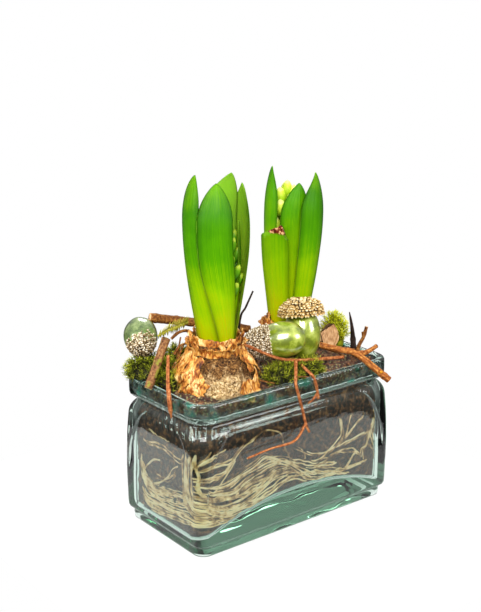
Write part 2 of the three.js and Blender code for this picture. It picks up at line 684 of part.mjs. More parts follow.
// A strand is drawn on the flat of the wall first, so that it follows the glass round its corners.
function strandSolid(side, strand, n) {
  const [crownDistance, crownHeight] = rootCrowns[side];
  const spread = crownSpread * (n / (rootStrands[side].length - 1) - 0.5);
  const flat = [
    new Vector3(crownDistance + spread, crownHeight, crownDepth * 0.8),
    new Vector3(crownDistance + 1.2 * spread, lerp(crownHeight, strand[0][1], 0.45), 0),
    ...strand.map(([distance, z]) => new Vector3(distance, z, 0)),
  ];
  const steps = 2 * flat.length + 2;
  const points = new THREE.CatmullRomCurve3(flat, false, 'centripetal').getPoints(steps)
    .map(({ x, y, z }) => onWall(x, y, Math.max(0, z)).toArray());
  return toSolid(limb(points, [rootRadius, rootRadius], 4, steps));
}

Object.keys(rootStrands).forEach((side) => {
  const trunk = toSolid(limb(trunkPoints(side), [trunkRadius, trunkRadius * 0.8], 6, 4));
  const head = new THREE.SphereGeometry(1, 8, 5).scale(2.2, crownSpread / 2 + 1, 2.4);
  head.rotateZ(side === 'front' ? degToRad(45) : Math.PI / 2).translate(...crownPoint(side));
  const strands = rootStrands[side].map((strand, n) => strandSolid(side, strand, n));
  const roots = largestBody(joined([trunk, toSolid(head), ...strands]));
  addPiece(`roots_${side}`, toGeometry(roots), colours.root);
});

// ---------------------------------------------------------------- soil

const soilEdge = 93.5; // height of the soil at the rim
const soilHeap = 8.5; // how far it heaps up inside

// Height of the soil's heaped top, with its clods.
function soilTop(x, y) {
  const inside = Math.max(0, 1 - (x / 78) ** 6) * Math.max(0, 1 - (y / 40) ** 4);
  const hollow = 4.5 * Math.exp(-((x + 44) ** 2) / 620 - (y + 34) ** 2 / 120);
  const across = Math.sin(0.52 * x + 1.7 * Math.sin(0.31 * y));
  const along = Math.cos(0.57 * y + 1.2 * Math.sin(0.23 * x));
  const clods = 0.9 * across * along + 0.6 * Math.sin(0.93 * x - 0.71 * y);
  return soilEdge + soilHeap * inside ** 0.7 - hollow + clods;
}

function soilUnder(raise) {
  const [reachX, reachY] = [halfLength + 8, halfWidth + 8];
  return toSolid(sheetSolid(19, 10, (u, v, side) => {
    const [x, y] = [lerp(-reachX, reachX, u), lerp(-reachY, reachY, v)];
    return new Vector3(x, y, side ? -5 : soilTop(x, y) + raise);
  }));
}

function bulbSocket(side) {
  const plant = plants[side];
  const profile = [new THREE.Vector2(0, plant.bulbFoot - gap)];
  bulbOutline.forEach(([share, size]) => {
    profile.push(new THREE.Vector2(
      plant.bulbRadius * size * 1.05 + gap + 4 * smoothstep(share, 0.2, 0.42) * (plant.skirt ? 1 : 0.6),
      lerp(plant.bulbFoot, plant.neck, share) - (share ? 0 : gap),
    ));
  });
  profile.push(new THREE.Vector2(0, plant.neck));
  return placed(new THREE.LatheGeometry(profile, 14).rotateX(Math.PI / 2), plantGroups[side]);
}

function rootSpaceIn(side) {
  const channel = toSolid(limb(trunkPoints(side), [trunkRadius + 0.8, trunkRadius + 0.8], 6, 4));
  const pocket = new THREE.SphereGeometry(crownPocket, 8, 6).translate(...onWall(...rootCrowns[side]));
  const drop = new THREE.SphereGeometry(trunkRadius + 1.1, 6, 4).translate(...trunkPoints(side)[0]);
  return joined([channel, toSolid(pocket), toSolid(drop)]);
}

// The soil stands off the wall where the roots lie, and meets it at the neck and above.
const soilStations = insideStations.map(([z, inset, corner]) => {
  const clearance = z < 80 ? rootSpace : gap + 0.15;
  return [z, inset + clearance, corner];
});
const sockets = Object.keys(plants).map(bulbSocket);
const soilBlock = toSolid(skin(soilStations.map((s) => wallRing(s, 4)))).subtract(floorBlock(gap + 0.1));
const soil = cutBy(soilBlock.intersect(soilUnder(0)), [
  ...sockets, ...Object.keys(plants).map(rootSpaceIn), ...seated,
]);
addPiece('soil', toGeometry(largestBody(soil)), colours.soil, model, { roughness: 1 });

// ---------------------------------------------------------------- moss

// Moss lies inside the rim, and may hang over it above the vase's top.
const rimInside = 2 * (vase.wall + gap);
const insideRim = new THREE.BoxGeometry(vase.length - rimInside, vase.width - rimInside, vase.height);
const aboveRim = new THREE.BoxGeometry(2 * vase.length, 2 * vase.length, vase.height);
insideRim.translate(0, 0, vase.height / 2);
aboveRim.translate(0, 0, 1.5 * vase.height + gap);
const mossRoom = toSolid(insideRim).add(toSolid(aboveRim));

function mossGeometry(name) {
  const random = randomFrom(name.length * 7 + 3);
  const parts = [];
  moss[name].forEach(({ centre, half }) => {
    const core = new THREE.SphereGeometry(0.9, 8, 6).rotateX(Math.PI / 2);
    parts.push(toSolid(core.scale(...half).translate(...centre)));
    const tufts = Math.round((half[0] + half[1]) * 0.8);
    for (let n = 0; n < tufts; n += 1) {
      const turn = degToRad(goldenAngle * n);
      const rise = lerp(0.15, 0.97, (n + 0.5) / tufts);
      const level = Math.sqrt(1 - rise ** 2);
      const out = new Vector3(level * Math.cos(turn), level * Math.sin(turn), rise);
      const tuft = new THREE.ConeGeometry(1.9, 5 + 2 * random(), 3).translate(0, 1.6, 0);
      tuft.applyQuaternion(new THREE.Quaternion().setFromUnitVectors(new Vector3(0, 1, 0), out));
      const root = out.clone().multiply(new Vector3(...half)).multiplyScalar(0.86);
      parts.push(toSolid(tuft.translate(...root.add(new Vector3(...centre)))));
    }
  });
  const cushions = cutBy(joined(parts).intersect(mossRoom), [soilUnder(gap), ...sockets, ...seated]);
  return toGeometry(largestBody(cushions));
}

Object.keys(moss).forEach((name) => {
  addPiece(name, mossGeometry(name), colours.moss, model, { roughness: 1 });
});

export default model;
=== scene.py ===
# Two hyacinth bulbs forced in one rectangular pressed-glass vase, in leaf and in green bud, with roots
# behind the glass and a dressing of moss, lacquered acorns and twigs.
# Shapes are worked out in millimetres in the part's own frame (origin at the centre of the vase's base, X
# along its long side, long front face towards -Y, +Z up) and scaled to metres when a piece is finished.

import math
import random
from functools import partial

import bmesh
import bpy
from mathutils import Matrix, Quaternion, Vector, noise


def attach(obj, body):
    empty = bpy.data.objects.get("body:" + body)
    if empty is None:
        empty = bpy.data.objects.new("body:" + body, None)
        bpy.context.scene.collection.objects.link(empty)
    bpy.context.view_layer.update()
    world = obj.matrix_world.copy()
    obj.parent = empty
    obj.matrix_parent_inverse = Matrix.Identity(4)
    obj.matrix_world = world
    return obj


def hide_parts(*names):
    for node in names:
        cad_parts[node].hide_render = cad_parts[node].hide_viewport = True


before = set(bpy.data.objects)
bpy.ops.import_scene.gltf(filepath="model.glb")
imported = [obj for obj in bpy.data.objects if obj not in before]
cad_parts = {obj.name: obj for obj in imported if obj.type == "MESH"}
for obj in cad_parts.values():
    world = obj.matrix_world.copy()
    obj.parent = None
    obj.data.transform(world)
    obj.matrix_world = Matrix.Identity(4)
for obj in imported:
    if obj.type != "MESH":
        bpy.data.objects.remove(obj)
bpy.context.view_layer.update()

MM = 0.001
TAU = 2 * math.pi
GOLDEN = math.radians(137.5)  # turn from one scale, bud or shoot to the next

# ------------------------------------------------------------------ sizes, in mm

VASE_LENGTH, VASE_WIDTH, VASE_HEIGHT = 161, 85, 100
WALL = 4.5
PANEL_DEPTH = 1.0
FLOOR_ENDS, FLOOR_RISE = 8, 17
HALF_LENGTH, HALF_WIDTH = VASE_LENGTH / 2, VASE_WIDTH / 2

PLANTS = {
    "front": dict(x=-42, y=-8.5, radius=25.4, foot=70, neck=127.5, lean=(0, 0), seed=11),
    "back": dict(x=36.8, y=15.2, radius=20.5, foot=79, neck=120, lean=(0.02, -0.016), seed=23),
}
NECK_RADIUS = 16.4
NECK_HOLE_DEPTH = 10.5
GAP = 0.3
FRONT_CORNER = -128  # angles round a plant are in degrees from this direction

# radius and turn are given at the foot, at the widest and at the tip, half is half the width, foot_share
# the share of it at the foot, tip and torn are heights, and pale tells how light the colour is; at 0.38
# it is painted light that lifts a leaf whose inner face lies in shade.
LEAVES = {
    "front": [
        dict(radius=(12.8, 21.6, 13.5), turn=(37, 0, 4), half=11.2, foot_share=0.44, tip=227.4),
        dict(radius=(10.2, 20.2, 14), turn=(-30, -60, -58), half=10.8, foot_share=0.88, tip=231.5),
        dict(radius=(10.9, 18.8, 15.5), turn=(174, 170, 141), half=11, foot_share=0.55, tip=230, pale=0.25),
        dict(radius=(10.9, 21.2, 17), turn=(100, 115, 106), half=13.6, foot_share=0.44, tip=225, pale=0.38),
        dict(radius=(8.2, 15.6, 14.4), turn=(62, 90, 92), half=4.4, foot_share=0.7, tip=203),
    ],
    "back": [
        dict(radius=(12.8, 21.6, 15), turn=(-33, -42, -46), half=12.5, foot_share=0.62, tip=222, torn=182),
        dict(radius=(10.2, 18.9, 15.4), turn=(-82, -62, -73), half=9.2, foot_share=0.5, tip=226.5, pale=0.25),
        dict(radius=(9.4, 16.6, 12), turn=(8, 2, 15), half=9.7, foot_share=0.58, tip=216.5, pale=0.25),
        dict(radius=(12, 20.8, 15.2), turn=(39, 45, 68), half=11.8, foot_share=0.68, tip=222.5),
        dict(radius=(10.6, 17.6, 14), turn=(160, 165, 170), half=10, foot_share=0.62, tip=196),
    ],
}
LEAF_WIDEST = 0.75
LEAF_TIP_LENGTH = 22

# Where the axis stands from the plant's middle, the heights of the top and of the foot of the head, and
# half the width of a bud.
SPIKES = {
    "front": dict(offset=6, turn=88, top=205, head_foot=156, bud=2.7),
    "back": dict(offset=1.2, turn=-72, top=216, head_foot=160, bud=4.5),
}

# axis points to the nut's tip. half is half the nut's length; rim and cap tell where the cup's rim is along
# the axis and how far below the centre the cup ends; scale is the length of one of its scales.
ACORNS = {
    "left": dict(centre=(-71.3, 32.5, 125), axis=(4.6, 8.6, 5.2), radius=10.8, half=13, rim=-3.4, cap=14,
                 cap_radius=9.7, scale=1.9),
    "middle": dict(centre=(1.9, -20.2, 121.4), axis=(15.9, -12.2, 2.4), radius=11.9, half=15.4, rim=-8.4,
                   cap=24.4, cap_radius=10.8, scale=1.9),
    "right": dict(centre=(25.4, -13, 119.5), axis=(-0.05, -0.15, -1), radius=12.1, half=17.4, rim=-14,
                  cap=23.2, cap_radius=14.6, scale=2.7),
}

PALE_PATCH = (-0.0545, -0.0315, 0.205)  # m, heights doubled: cream scurf low on the front bulb

# ------------------------------------------------------------------ mesh helpers


def lerp(a, b, t):
    return a + (b - a) * t


def smoothstep(x, low, high):
    t = min(1, max(0, (x - low) / (high - low)))
    return t * t * (3 - 2 * t)


def rough(point, size, height):
    """Bumps of a given size and height at a point."""
    return height * noise.noise(Vector(point) / size)


def crease(point, size, height):
    """Sharp ridges like those of crumpled paper."""
    return height * (0.6 - 2.4 * abs(noise.noise(Vector(point) / size)))


def sheet(bm, columns, rows, place, mark=None, closed=False):
    """Adds a grid shaped by place(u, v), with its UVs from mark(u, v). Closed joins its left and right
    edges. Returns its vertices."""
    made = bmesh.ops.create_grid(bm, x_segments=columns, y_segments=rows, size=0.5)["verts"]
    uv = bm.loops.layers.uv.verify()
    for vert in made:
        u, v = vert.co.x + 0.5, vert.co.y + 0.5
        for loop in vert.link_loops:
            loop[uv].uv = mark(u, v) if mark else (u, v)
        vert.co = place(u, v)
    if closed:
        bmesh.ops.remove_doubles(bm, verts=made, dist=0.002)
        made = [vert for vert in made if vert.is_valid]
    return made


def smooth_path(points, steps):
    """Even points along a smooth curve through points."""
    knots = [Vector(p) for p in points]
    knots = [2 * knots[0] - knots[1], *knots, 2 * knots[-1] - knots[-2]]
    dense = []
    for a, b, c, d in zip(knots, knots[1:], knots[2:], knots[3:]):
        for i in range(10):
            t = i / 10
            cubic = (2 * a - 5 * b + 4 * c - d) * t ** 2 + (3 * b - a - 3 * c + d) * t ** 3
            dense.append(0.5 * (2 * b + (c - a) * t + cubic))
    dense.append(knots[-2])
    run = [0]
    for a, b in zip(dense, dense[1:]):
        run.append(run[-1] + (b - a).length)
    path, k = [], 0
    for i in range(steps + 1):
        target = run[-1] * i / steps
        while k < len(dense) - 2 and run[k + 1] < target:
            k += 1
        share = (target - run[k]) / max(1e-9, run[k + 1] - run[k])
        path.append(dense[k].lerp(dense[k + 1], min(1, share)))
    return path


def path_frames(path):
    """Two directions across the path at each of its points, turning as little as possible."""
    frames, side = [], None
    for i in range(len(path)):
        along = (path[min(i + 1, len(path) - 1)] - path[max(i - 1, 0)]).normalized()
        if side is None:
            side = along.orthogonal()
        side = (side - along * side.dot(along)).normalized()
        frames.append((side.copy(), along.cross(side)))
    return frames


def tube(bm, points, radius_at, sides, steps=24, smooth=True, shade=None):
    """A limb along points. radius_at(t, angle) gives its radius. Its flat ends have a v beyond 0 and 1.
    A shade takes the place of u in its UVs."""
    path = smooth_path(points, steps) if smooth else [Vector(p) for p in points]
    steps = len(path) - 1
    frames = path_frames(path)
    rows = steps + 2

    def place(u, v):
        row = round(v * rows)
        i = min(steps, max(0, row - 1))
        if row in (0, rows):
            return path[i]
        angle = TAU * u
        radius = radius_at(i / steps, angle)
        across, up = frames[i]
        return path[i] + radius * (across * math.cos(angle) + up * math.sin(angle))

    def mark(u, v):
        row = round(v * rows)
        along = -0.3 if row == 0 else 1.3 if row == rows else (row - 1) / steps
        return (u if shade is None else shade, along)

    return sheet(bm, sides, rows, place, mark, closed=True)


def stamp(bm, mesh, matrix):
    """Adds a small mesh, moved by a matrix."""
    moved = mesh.copy()
    moved.transform(matrix)
    bm.from_mesh(moved)
    bpy.data.meshes.remove(moved)


def template(build):
    """A small mesh to stamp, from a function that fills a bmesh."""
    bm = bmesh.new()
    build(bm)
    bmesh.ops.recalc_face_normals(bm, faces=bm.faces)
    mesh = bpy.data.meshes.new("template")
    bm.to_mesh(mesh)
    bm.free()
    return mesh


def towards(direction, turn=0.0):
    """A rotation that turns local Z to a direction, after a turn about local Z."""
    return Vector(direction).to_track_quat("Z", "Y") @ Quaternion((0, 0, 1), turn)


def placed(location, rotation=Quaternion(), scale=(1, 1, 1)):
    return Matrix.LocRotScale(Vector(location), rotation, Vector(scale))


def piece(bm, name, material, slot, *nodes):
    """Finishes a bmesh as a piece in metres that stands for CAD nodes."""
    bmesh.ops.scale(bm, vec=(MM, MM, MM), verts=bm.verts)
    bmesh.ops.recalc_face_normals(bm, faces=bm.faces)
    mesh = bpy.data.meshes.new(name)
    bm.to_mesh(mesh)
    bm.free()
    mesh.shade_smooth()
    mesh.materials.append(material)
    obj = bpy.data.objects.new(name, mesh)
    bpy.context.scene.collection.objects.link(obj)
    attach(obj, "root")
    if nodes:
        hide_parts(*nodes)
    return obj


# ------------------------------------------------------------------ materials

# Sockets go by name or by number. A Mix of colours has its share at 0, its colours at 6 and 7 and its result
# at output 2. A MapRange has its value at 0, the range it comes from at 1 and 2 and the new one at 3 and 4.


def linear(hex_value):
    """An sRGB hex colour as linear RGBA."""
    channels = [int(hex_value[i:i + 2], 16) / 255 for i in (1, 3, 5)]
    return (*[c / 12.92 if c <= 0.04045 else ((c + 0.055) / 1.055) ** 2.4 for c in channels], 1)


def connect(tree, node, inputs):
    """Sets a node's sockets to values, or links them to outputs or to other nodes' first outputs."""
    for name, value in inputs.items():
        if isinstance(value, bpy.types.Node):
            value = value.outputs[0]
        if isinstance(value, bpy.types.NodeSocket):
            tree.links.new(value, node.inputs[name])
        else:
            node.inputs[name].default_value = value


def add_node(tree, kind, inputs=None, stops=None, **settings):
    """Adds a node with its settings and links. stops fills a ramp with colours or grey levels."""
    made = tree.nodes.new("ShaderNode" + kind)
    for name, value in settings.items():
        setattr(made, name, value)
    if stops:
        ramp = made.color_ramp
        while len(ramp.elements) < len(stops):
            ramp.elements.new(1)
        for element, (position, colour) in zip(ramp.elements, stops):
            element.position = position
            element.color = linear(colour) if isinstance(colour, str) else (colour, colour, colour, 1)
    connect(tree, made, inputs or {})
    return made


def start_material(name, **finish):
    """A material with its principled shader's plain settings. Returns it, what adds a node to it, what sets
    or links the shader's sockets, and its coordinates."""
    material = bpy.data.materials.new(name)
    material.use_nodes = True
    tree = material.node_tree
    shader = tree.nodes["Principled BSDF"]
    for socket, value in finish.items():
        shader.inputs[socket.replace("_", " ")].default_value = value
    at = tree.nodes.new("ShaderNodeTexCoord").outputs
    return material, partial(add_node, tree), partial(connect, tree, shader), at


def per_mm(size):
    """A texture's scale for a pattern of the given size in millimetres."""
    return 1 / (size * MM)


def pressed_glass():
    # Thick soda-lime glass with iron in it, pressed in a mould: clear across the wall, teal green along
    # it, a little wavy, and more so round the collar.
    material, add, surface, at = start_material(
        "pressed soda-lime glass, green tint", Roughness=0.012, IOR=1.5, Transmission_Weight=1.0)
    stretched = add("Mapping", {"Vector": at["Object"], "Scale": (0.5, 0.5, 1.4)})
    waves = add("TexNoise", {"Vector": stretched, "Scale": per_mm(9), "Detail": 1.0})
    dimples = add("TexNoise", {"Vector": at["Object"], "Scale": per_mm(2.6), "Detail": 3.0})
    height = add("SeparateXYZ", {0: at["Object"]}).outputs[2]
    collar = add("MapRange", {0: height, 1: 0.086, 2: 0.09, 3: 0.0, 4: 2.0})
    level = add("Math", {0: dimples, 1: collar, 2: waves}, operation="MULTIPLY_ADD")
    surface({"Normal": add("Bump", {"Height": level, "Distance": 0.3 * MM, "Strength": 0.35})})
    # the collar is thicker in places, and teal there
    patches = add("TexNoise", {"Vector": at["Object"], "Scale": per_mm(9), "Detail": 4.0})
    thick = add("Math", {0: collar, 1: 0.5, 2: patches}, operation="MULTIPLY_ADD")
    fac = add("MapRange", {0: thick, 1: 1.49, 2: 1.64})
    tint = add("Mix", {0: fac, 6: linear("#eef9f4"), 7: linear("#4fae92")}, data_type="RGBA")
    surface({"Base Color": tint.outputs[2]})
    clear = add("MapRange", {0: fac, 3: 1.0, 4: 0.84})
    surface({"Transmission Weight": clear})
    volume = add("VolumeAbsorption", {"Color": linear("#80be9f"), "Density": 25.0})
    tree = material.node_tree
    connect(tree, tree.nodes["Material Output"], {"Volume": volume})
    return material


def potting_soil():
    # Moist peat: crumbs of near-black and reddish brown, a few pale fibres.
    material, add, surface, at = start_material("moist potting soil", Roughness=0.8)
    crumbs = add("TexNoise", {"Vector": at["Object"], "Scale": per_mm(2.4), "Detail": 6.0,
                              "Roughness": 0.7})
    fibre = add("TexVoronoi", {"Vector": at["Object"], "Scale": per_mm(3.4), "Randomness": 1.0})
    level = add("Math", {0: fibre.outputs["Distance"], 1: 0.28, 2: crumbs}, operation="MULTIPLY_ADD")
    colour = add("ValToRGB", {0: level}, stops=[
        (0.42, "#120905"), (0.58, "#301a10"), (0.70, "#56331e"), (0.84, "#96643a")])
    # pale flecks near the top: partly grit in the soil, partly painted glints that stand in for the speckled
    # reflections on the collar
    height = add("SeparateXYZ", {0: at["Object"]}).outputs[2]
    flecks = add("TexNoise", {"Vector": at["Object"], "Scale": per_mm(1.5), "Detail": 2.0})
    high = add("MapRange", {0: height, 1: 0.08, 2: 0.088, 3: -0.2, 4: 0.0})
    level = add("Math", {0: flecks, 1: high}, operation="ADD")
    grit_and_glints = add("MapRange", {0: level, 1: 0.6, 2: 0.64})
    mixed = add("Mix", {0: grit_and_glints, 6: colour, 7: linear("#8f8a5a")}, data_type="RGBA")
    surface({"Base Color": mixed.outputs[2]})
    surface({"Normal": add("Bump", {"Height": crumbs, "Distance": 1.2 * MM, "Strength": 0.9})})
    return material


def leaf_blade(name, paler=0.0, wither=2.0):
    # Living leaf: waxy, satin, fine veins along it; yellow-green at the foot and deep green above. Where it
    # is torn, a brown scab lies along the edge, from a share of its length on.
    material, add, surface, at = start_material(
        name, Roughness=0.38, Subsurface_Weight=0.08, Subsurface_Scale=0.0015,
        Subsurface_Radius=(0.5, 1.0, 0.02), Specular_IOR_Level=0.09)
    uv = at["UV"]
    # the inner face's u runs from 3 to 2
    around, along = add("SeparateXYZ", {0: uv}).outputs[:2]
    inner = add("Math", {0: around, 1: 1.5}, operation="GREATER_THAN")
    across = add("Math", {0: inner, 1: -2.0, 2: around}, operation="MULTIPLY_ADD")
    veins = add("Mapping", {"Vector": uv, "Scale": (44, 1.2, 1)})
    streak = add("TexNoise", {"Vector": veins, "Scale": 1.0, "Detail": 3.0})
    cloud = add("TexNoise", {"Vector": at["Object"], "Scale": per_mm(22), "Detail": 3.0})
    level = add("Math", {0: streak, 1: 0.5, 2: along}, operation="MULTIPLY_ADD")
    level = add("Math", {0: cloud, 1: 0.5, 2: level}, operation="MULTIPLY_ADD")
    level = add("Math", {0: level, 1: 0.5}, operation="SUBTRACT")
    level = add("Math", {0: level, 1: 1 - paler}, operation="MULTIPLY")
    colour = add("ValToRGB", {0: level}, stops=[
        (0.0, "#b46a10"), (0.05, "#a89800"), (0.16, "#9cb000"), (0.36, "#80ac00"), (0.6, "#4a8c00"),
        (0.84, "#337400"), (1.0, "#5c9400")])
    # the margins are a little darker
    centred = add("Math", {0: across, 1: 0.5}, operation="SUBTRACT")
    away = add("Math", {0: centred}, operation="ABSOLUTE")
    shade = add("ValToRGB", {0: away}, stops=[
        (0.0, "#ffffff"), (0.34, "#f4f6ee"), (0.5, "#b0bc98")])
    mixed = add("Mix", {0: 1.0, 6: colour, 7: shade}, data_type="RGBA", blend_type="MULTIPLY")
    # painted light: the inner face is mixed towards a light green so it looks lit where it lies in shade
    light = add("Math", {0: inner, 1: 0.2}, operation="MULTIPLY")
    mixed = add("Mix", {0: light, 6: mixed.outputs[2], 7: linear("#ccf850")}, data_type="RGBA")
    scab = add("Math", {0: cloud, 1: 0.06, 2: along}, operation="MULTIPLY_ADD")
    dead = add("MapRange", {0: scab, 1: wither, 2: wither + 0.012})
    specks = add("TexNoise", {"Vector": at["Object"], "Scale": per_mm(1.6), "Detail": 2.0})
    brown = add("ValToRGB", {0: specks}, stops=[
        (0.4, "#4a140c"), (0.52, "#7c3018"), (0.62, "#d8a878")])
    whole = add("Mix", {0: dead, 6: mixed.outputs[2], 7: brown}, data_type="RGBA")
    surface({"Base Color": whole.outputs[2]})
    surface({"Normal": add("Bump", {"Height": streak, "Distance": 0.3 * MM, "Strength": 0.6})})
    return material


def flower_bud(name, foot, low, high, tip):
    # Closed florets: satin, darker at the foot and yellower at the tip.
    material, add, surface, at = start_material(name, Roughness=0.4, Specular_IOR_Level=0.2)
    along = add("SeparateXYZ", {0: at["UV"]}).outputs[1]
    mottle = add("TexNoise", {"Vector": at["Object"], "Scale": per_mm(3), "Detail": 2.0})
    level = add("Math", {0: mottle, 1: 0.3, 2: along}, operation="MULTIPLY_ADD")
    colour = add("ValToRGB", {0: level}, stops=[
        (0.1, foot), (0.5, low), (0.9, high), (1.0, tip)])
    surface({"Base Color": colour})
    return material


def bulb_skin():
    # Old skin of the bulb: crumbling, brown to near-black specks with cream grains, paler low in front.
    material, add, surface, at = start_material(
        "crumbling bulb skin", Roughness=0.75, Specular_IOR_Level=0.25)
    crumbs = add("TexNoise", {"Vector": at["Object"], "Scale": per_mm(1.1), "Detail": 7.0,
                              "Roughness": 0.75, "Distortion": 0.8})
    brown = add("ValToRGB", {0: crumbs}, stops=[
        (0.37, "#120904"), (0.46, "#3a220e"), (0.53, "#744c20"), (0.61, "#a87a40"), (0.7, "#ead09a")])
    pale = add("ValToRGB", {0: crumbs}, stops=[
        (0.39, "#3a2612"), (0.46, "#9c7440"), (0.53, "#d8b67c"), (0.63, "#f8e8c4")])
    flat = add("Mapping", {"Vector": at["Object"], "Scale": (1, 1, 2)})
    patch = add("VectorMath", {0: flat, 1: PALE_PATCH}, operation="DISTANCE")
    stain = add("TexNoise", {"Vector": at["Object"], "Scale": per_mm(6), "Detail": 4.0})
    reach = add("Math", {0: stain, 1: 0.06, 2: patch.outputs["Value"]}, operation="MULTIPLY_ADD")
    near = add("MapRange", {0: reach, 1: 0.037, 2: 0.052, 3: 1.0, 4: 0.0})
    mixed = add("Mix", {0: near, 6: brown, 7: pale}, data_type="RGBA")
    surface({"Base Color": mixed.outputs[2]})
    surface({"Normal": add("Bump", {"Height": crumbs, "Distance": 1.0 * MM, "Strength": 1.0})})
    return material


def papery_husk():
    # Dry outer scales: thin golden paper with lengthwise fibres, darker brown in the creases.
    material, add, surface, at = start_material("dry bulb husk", Roughness=0.55, Specular_IOR_Level=0.3)
    grain = add("Mapping", {"Vector": at["Object"], "Scale": (1, 1, 0.35)})
    fibres = add("TexNoise", {"Vector": grain, "Scale": per_mm(1.3), "Detail": 5.0,
                              "Roughness": 0.6, "Distortion": 0.3})
    stains = add("TexNoise", {"Vector": at["Object"], "Scale": per_mm(7), "Detail": 5.0})
    level = add("Math", {0: fibres, 1: 0.6, 2: stains}, operation="MULTIPLY_ADD")
    tan = add("ValToRGB", {0: level}, stops=[
        (0.6, "#4c240a"), (0.68, "#985c1e"), (0.77, "#c48434"), (0.86, "#d8a050"), (0.97, "#f0cc8c")])
    # creases: thin dark lines where a second noise passes its middle
    folds = add("TexNoise", {"Vector": grain, "Scale": per_mm(4.5), "Detail": 3.0})
    middle = add("Math", {0: folds, 1: 0.5}, operation="SUBTRACT")
    away = add("Math", {0: middle}, operation="ABSOLUTE")
    line = add("ValToRGB", {0: away}, stops=[(0.0, "#8c5c30"), (0.02, "#d0aa80"), (0.05, "#ffffff")])
    mixed = add("Mix", {0: 1.0, 6: tan, 7: line}, data_type="RGBA", blend_type="MULTIPLY")
    surface({"Base Color": mixed.outputs[2]})
    surface({"Normal": add("Bump", {"Height": fibres, "Distance": 0.5 * MM, "Strength": 0.7})})
    return material


def root_cream():
    # Fleshy roots: cream, moist, with browner stretches, each strand its own shade.
    material, add, surface, at = start_material("fleshy root", Roughness=0.45, Specular_IOR_Level=0.3)
    shade = add("SeparateXYZ", {0: at["UV"]})
    mottle = add("TexNoise", {"Vector": at["Object"], "Scale": per_mm(5), "Detail": 4.0})
    level = add("Math", {0: shade, 1: 0.3, 2: mottle}, operation="MULTIPLY_ADD")
    colour = add("ValToRGB", {0: level}, stops=[
        (0.42, "#644022"), (0.54, "#b88656"), (0.66, "#f4c890"), (0.8, "#ffe0b4")])
    surface({"Base Color": colour})
    return material


def pearl_lacquer(name, deep, middle, light):
    # Nut sprayed with pearly lacquer: soft metallic green under a clear coat, a little cloudy.
    material, add, surface, at = start_material(
        name, Roughness=0.34, Metallic=0.25, Coat_Weight=1.0, Coat_Roughness=0.15, Coat_IOR=1.9)
    cloud = add("TexNoise", {"Vector": at["Object"], "Scale": per_mm(6), "Detail": 3.0})
    fine = add("TexNoise", {"Vector": at["Object"], "Scale": per_mm(0.8), "Detail": 2.0})
    level = add("Math", {0: fine, 1: 0.25, 2: cloud}, operation="MULTIPLY_ADD")
    colour = add("ValToRGB", {0: level}, stops=[(0.5, deep), (0.62, middle), (0.78, light)])
    surface({"Base Color": colour})
    return material


def cap_scale(name, gap_shade, dark, middle, light):
    # Scaly cup: dry and matt, dark between the scales as painted shade and pale at their tips, each scale its
    # own tone.
    material, add, surface, at = start_material(name, Roughness=0.8, Specular_IOR_Level=0.25)
    along = add("SeparateXYZ", {0: at["UV"]}).outputs[1]
    mottle = add("TexNoise", {"Vector": at["Object"], "Scale": per_mm(1.7), "Detail": 4.0,
                              "Roughness": 0.7})
    level = add("Math", {0: mottle, 1: 1.5, 2: along}, operation="MULTIPLY_ADD")
    level = add("Math", {0: level, 1: 0.5}, operation="MULTIPLY")
    colour = add("ValToRGB", {0: level}, stops=[
        (0.36, gap_shade), (0.52, dark), (0.68, middle), (0.84, light)])
    surface({"Base Color": colour})
    surface({"Normal": add("Bump", {"Height": mottle, "Distance": 0.3 * MM, "Strength": 0.7})})
    return material


def bark(name, dark, middle, light, cut, lichen=None):
    # Thin bark: mottled along the twig, paler wood at its cut ends.
    material, add, surface, at = start_material(name, Roughness=0.7, Specular_IOR_Level=0.2)
    along = add("SeparateXYZ", {0: at["UV"]}).outputs[1]
    mottle = add("TexNoise", {"Vector": at["Object"], "Scale": per_mm(1.6), "Detail": 6.0,
                              "Roughness": 0.72})
    streaks = add("Mapping", {"Vector": at["UV"], "Scale": (9, 2.5, 1)})
    streak = add("TexNoise", {"Vector": streaks, "Scale": 1.0, "Detail": 3.0})
    level = add("Math", {0: streak, 1: 0.6, 2: mottle}, operation="MULTIPLY_ADD")
    colour = add("ValToRGB", {0: level}, stops=[(0.62, dark), (0.8, middle), (0.96, light)])
    skin = colour
    if lichen:
        patches = add("TexNoise", {"Vector": at["Object"], "Scale": per_mm(5), "Detail": 5.0})
        mask = add("ValToRGB", {0: patches}, stops=[(0.5, 0.0), (0.58, 1.0)])
        mixed = add("Mix", {0: mask, 6: skin, 7: linear(lichen)}, data_type="RGBA")
        skin = mixed.outputs[2]
    centred = add("Math", {0: along, 1: 0.5}, operation="SUBTRACT")
    away = add("Math", {0: centred}, operation="ABSOLUTE")
    end = add("Math", {0: away, 1: 0.515}, operation="GREATER_THAN")
    whole = add("Mix", {0: end, 6: skin, 7: linear(cut)}, data_type="RGBA")
    surface({"Base Color": whole.outputs[2]})
    surface({"Normal": add("Bump", {"Height": mottle, "Distance": 0.5 * MM, "Strength": 0.8})})
    return material


def moss_shoots(name, deep, dark, middle, tip):
    # Living moss: darker towards the foot of each shoot and darkest on the cushion beneath, painted shade
    # among the shoots; brighter at their tips.
    material, add, surface, at = start_material(name, Roughness=0.7, Specular_IOR_Level=0.25)
    along = add("SeparateXYZ", {0: at["UV"]}).outputs[1]
    patches = add("TexNoise", {"Vector": at["Object"], "Scale": per_mm(5), "Detail": 3.0})
    level = add("Math", {0: patches, 1: 1.2, 2: along}, operation="MULTIPLY_ADD")
    level = add("Math", {0: level, 1: 0.6}, operation="SUBTRACT")
    colour = add("ValToRGB", {0: level}, stops=[
        (0.08, deep), (0.4, dark), (0.72, middle), (0.98, tip)])
    surface({"Base Color": colour})
    return material


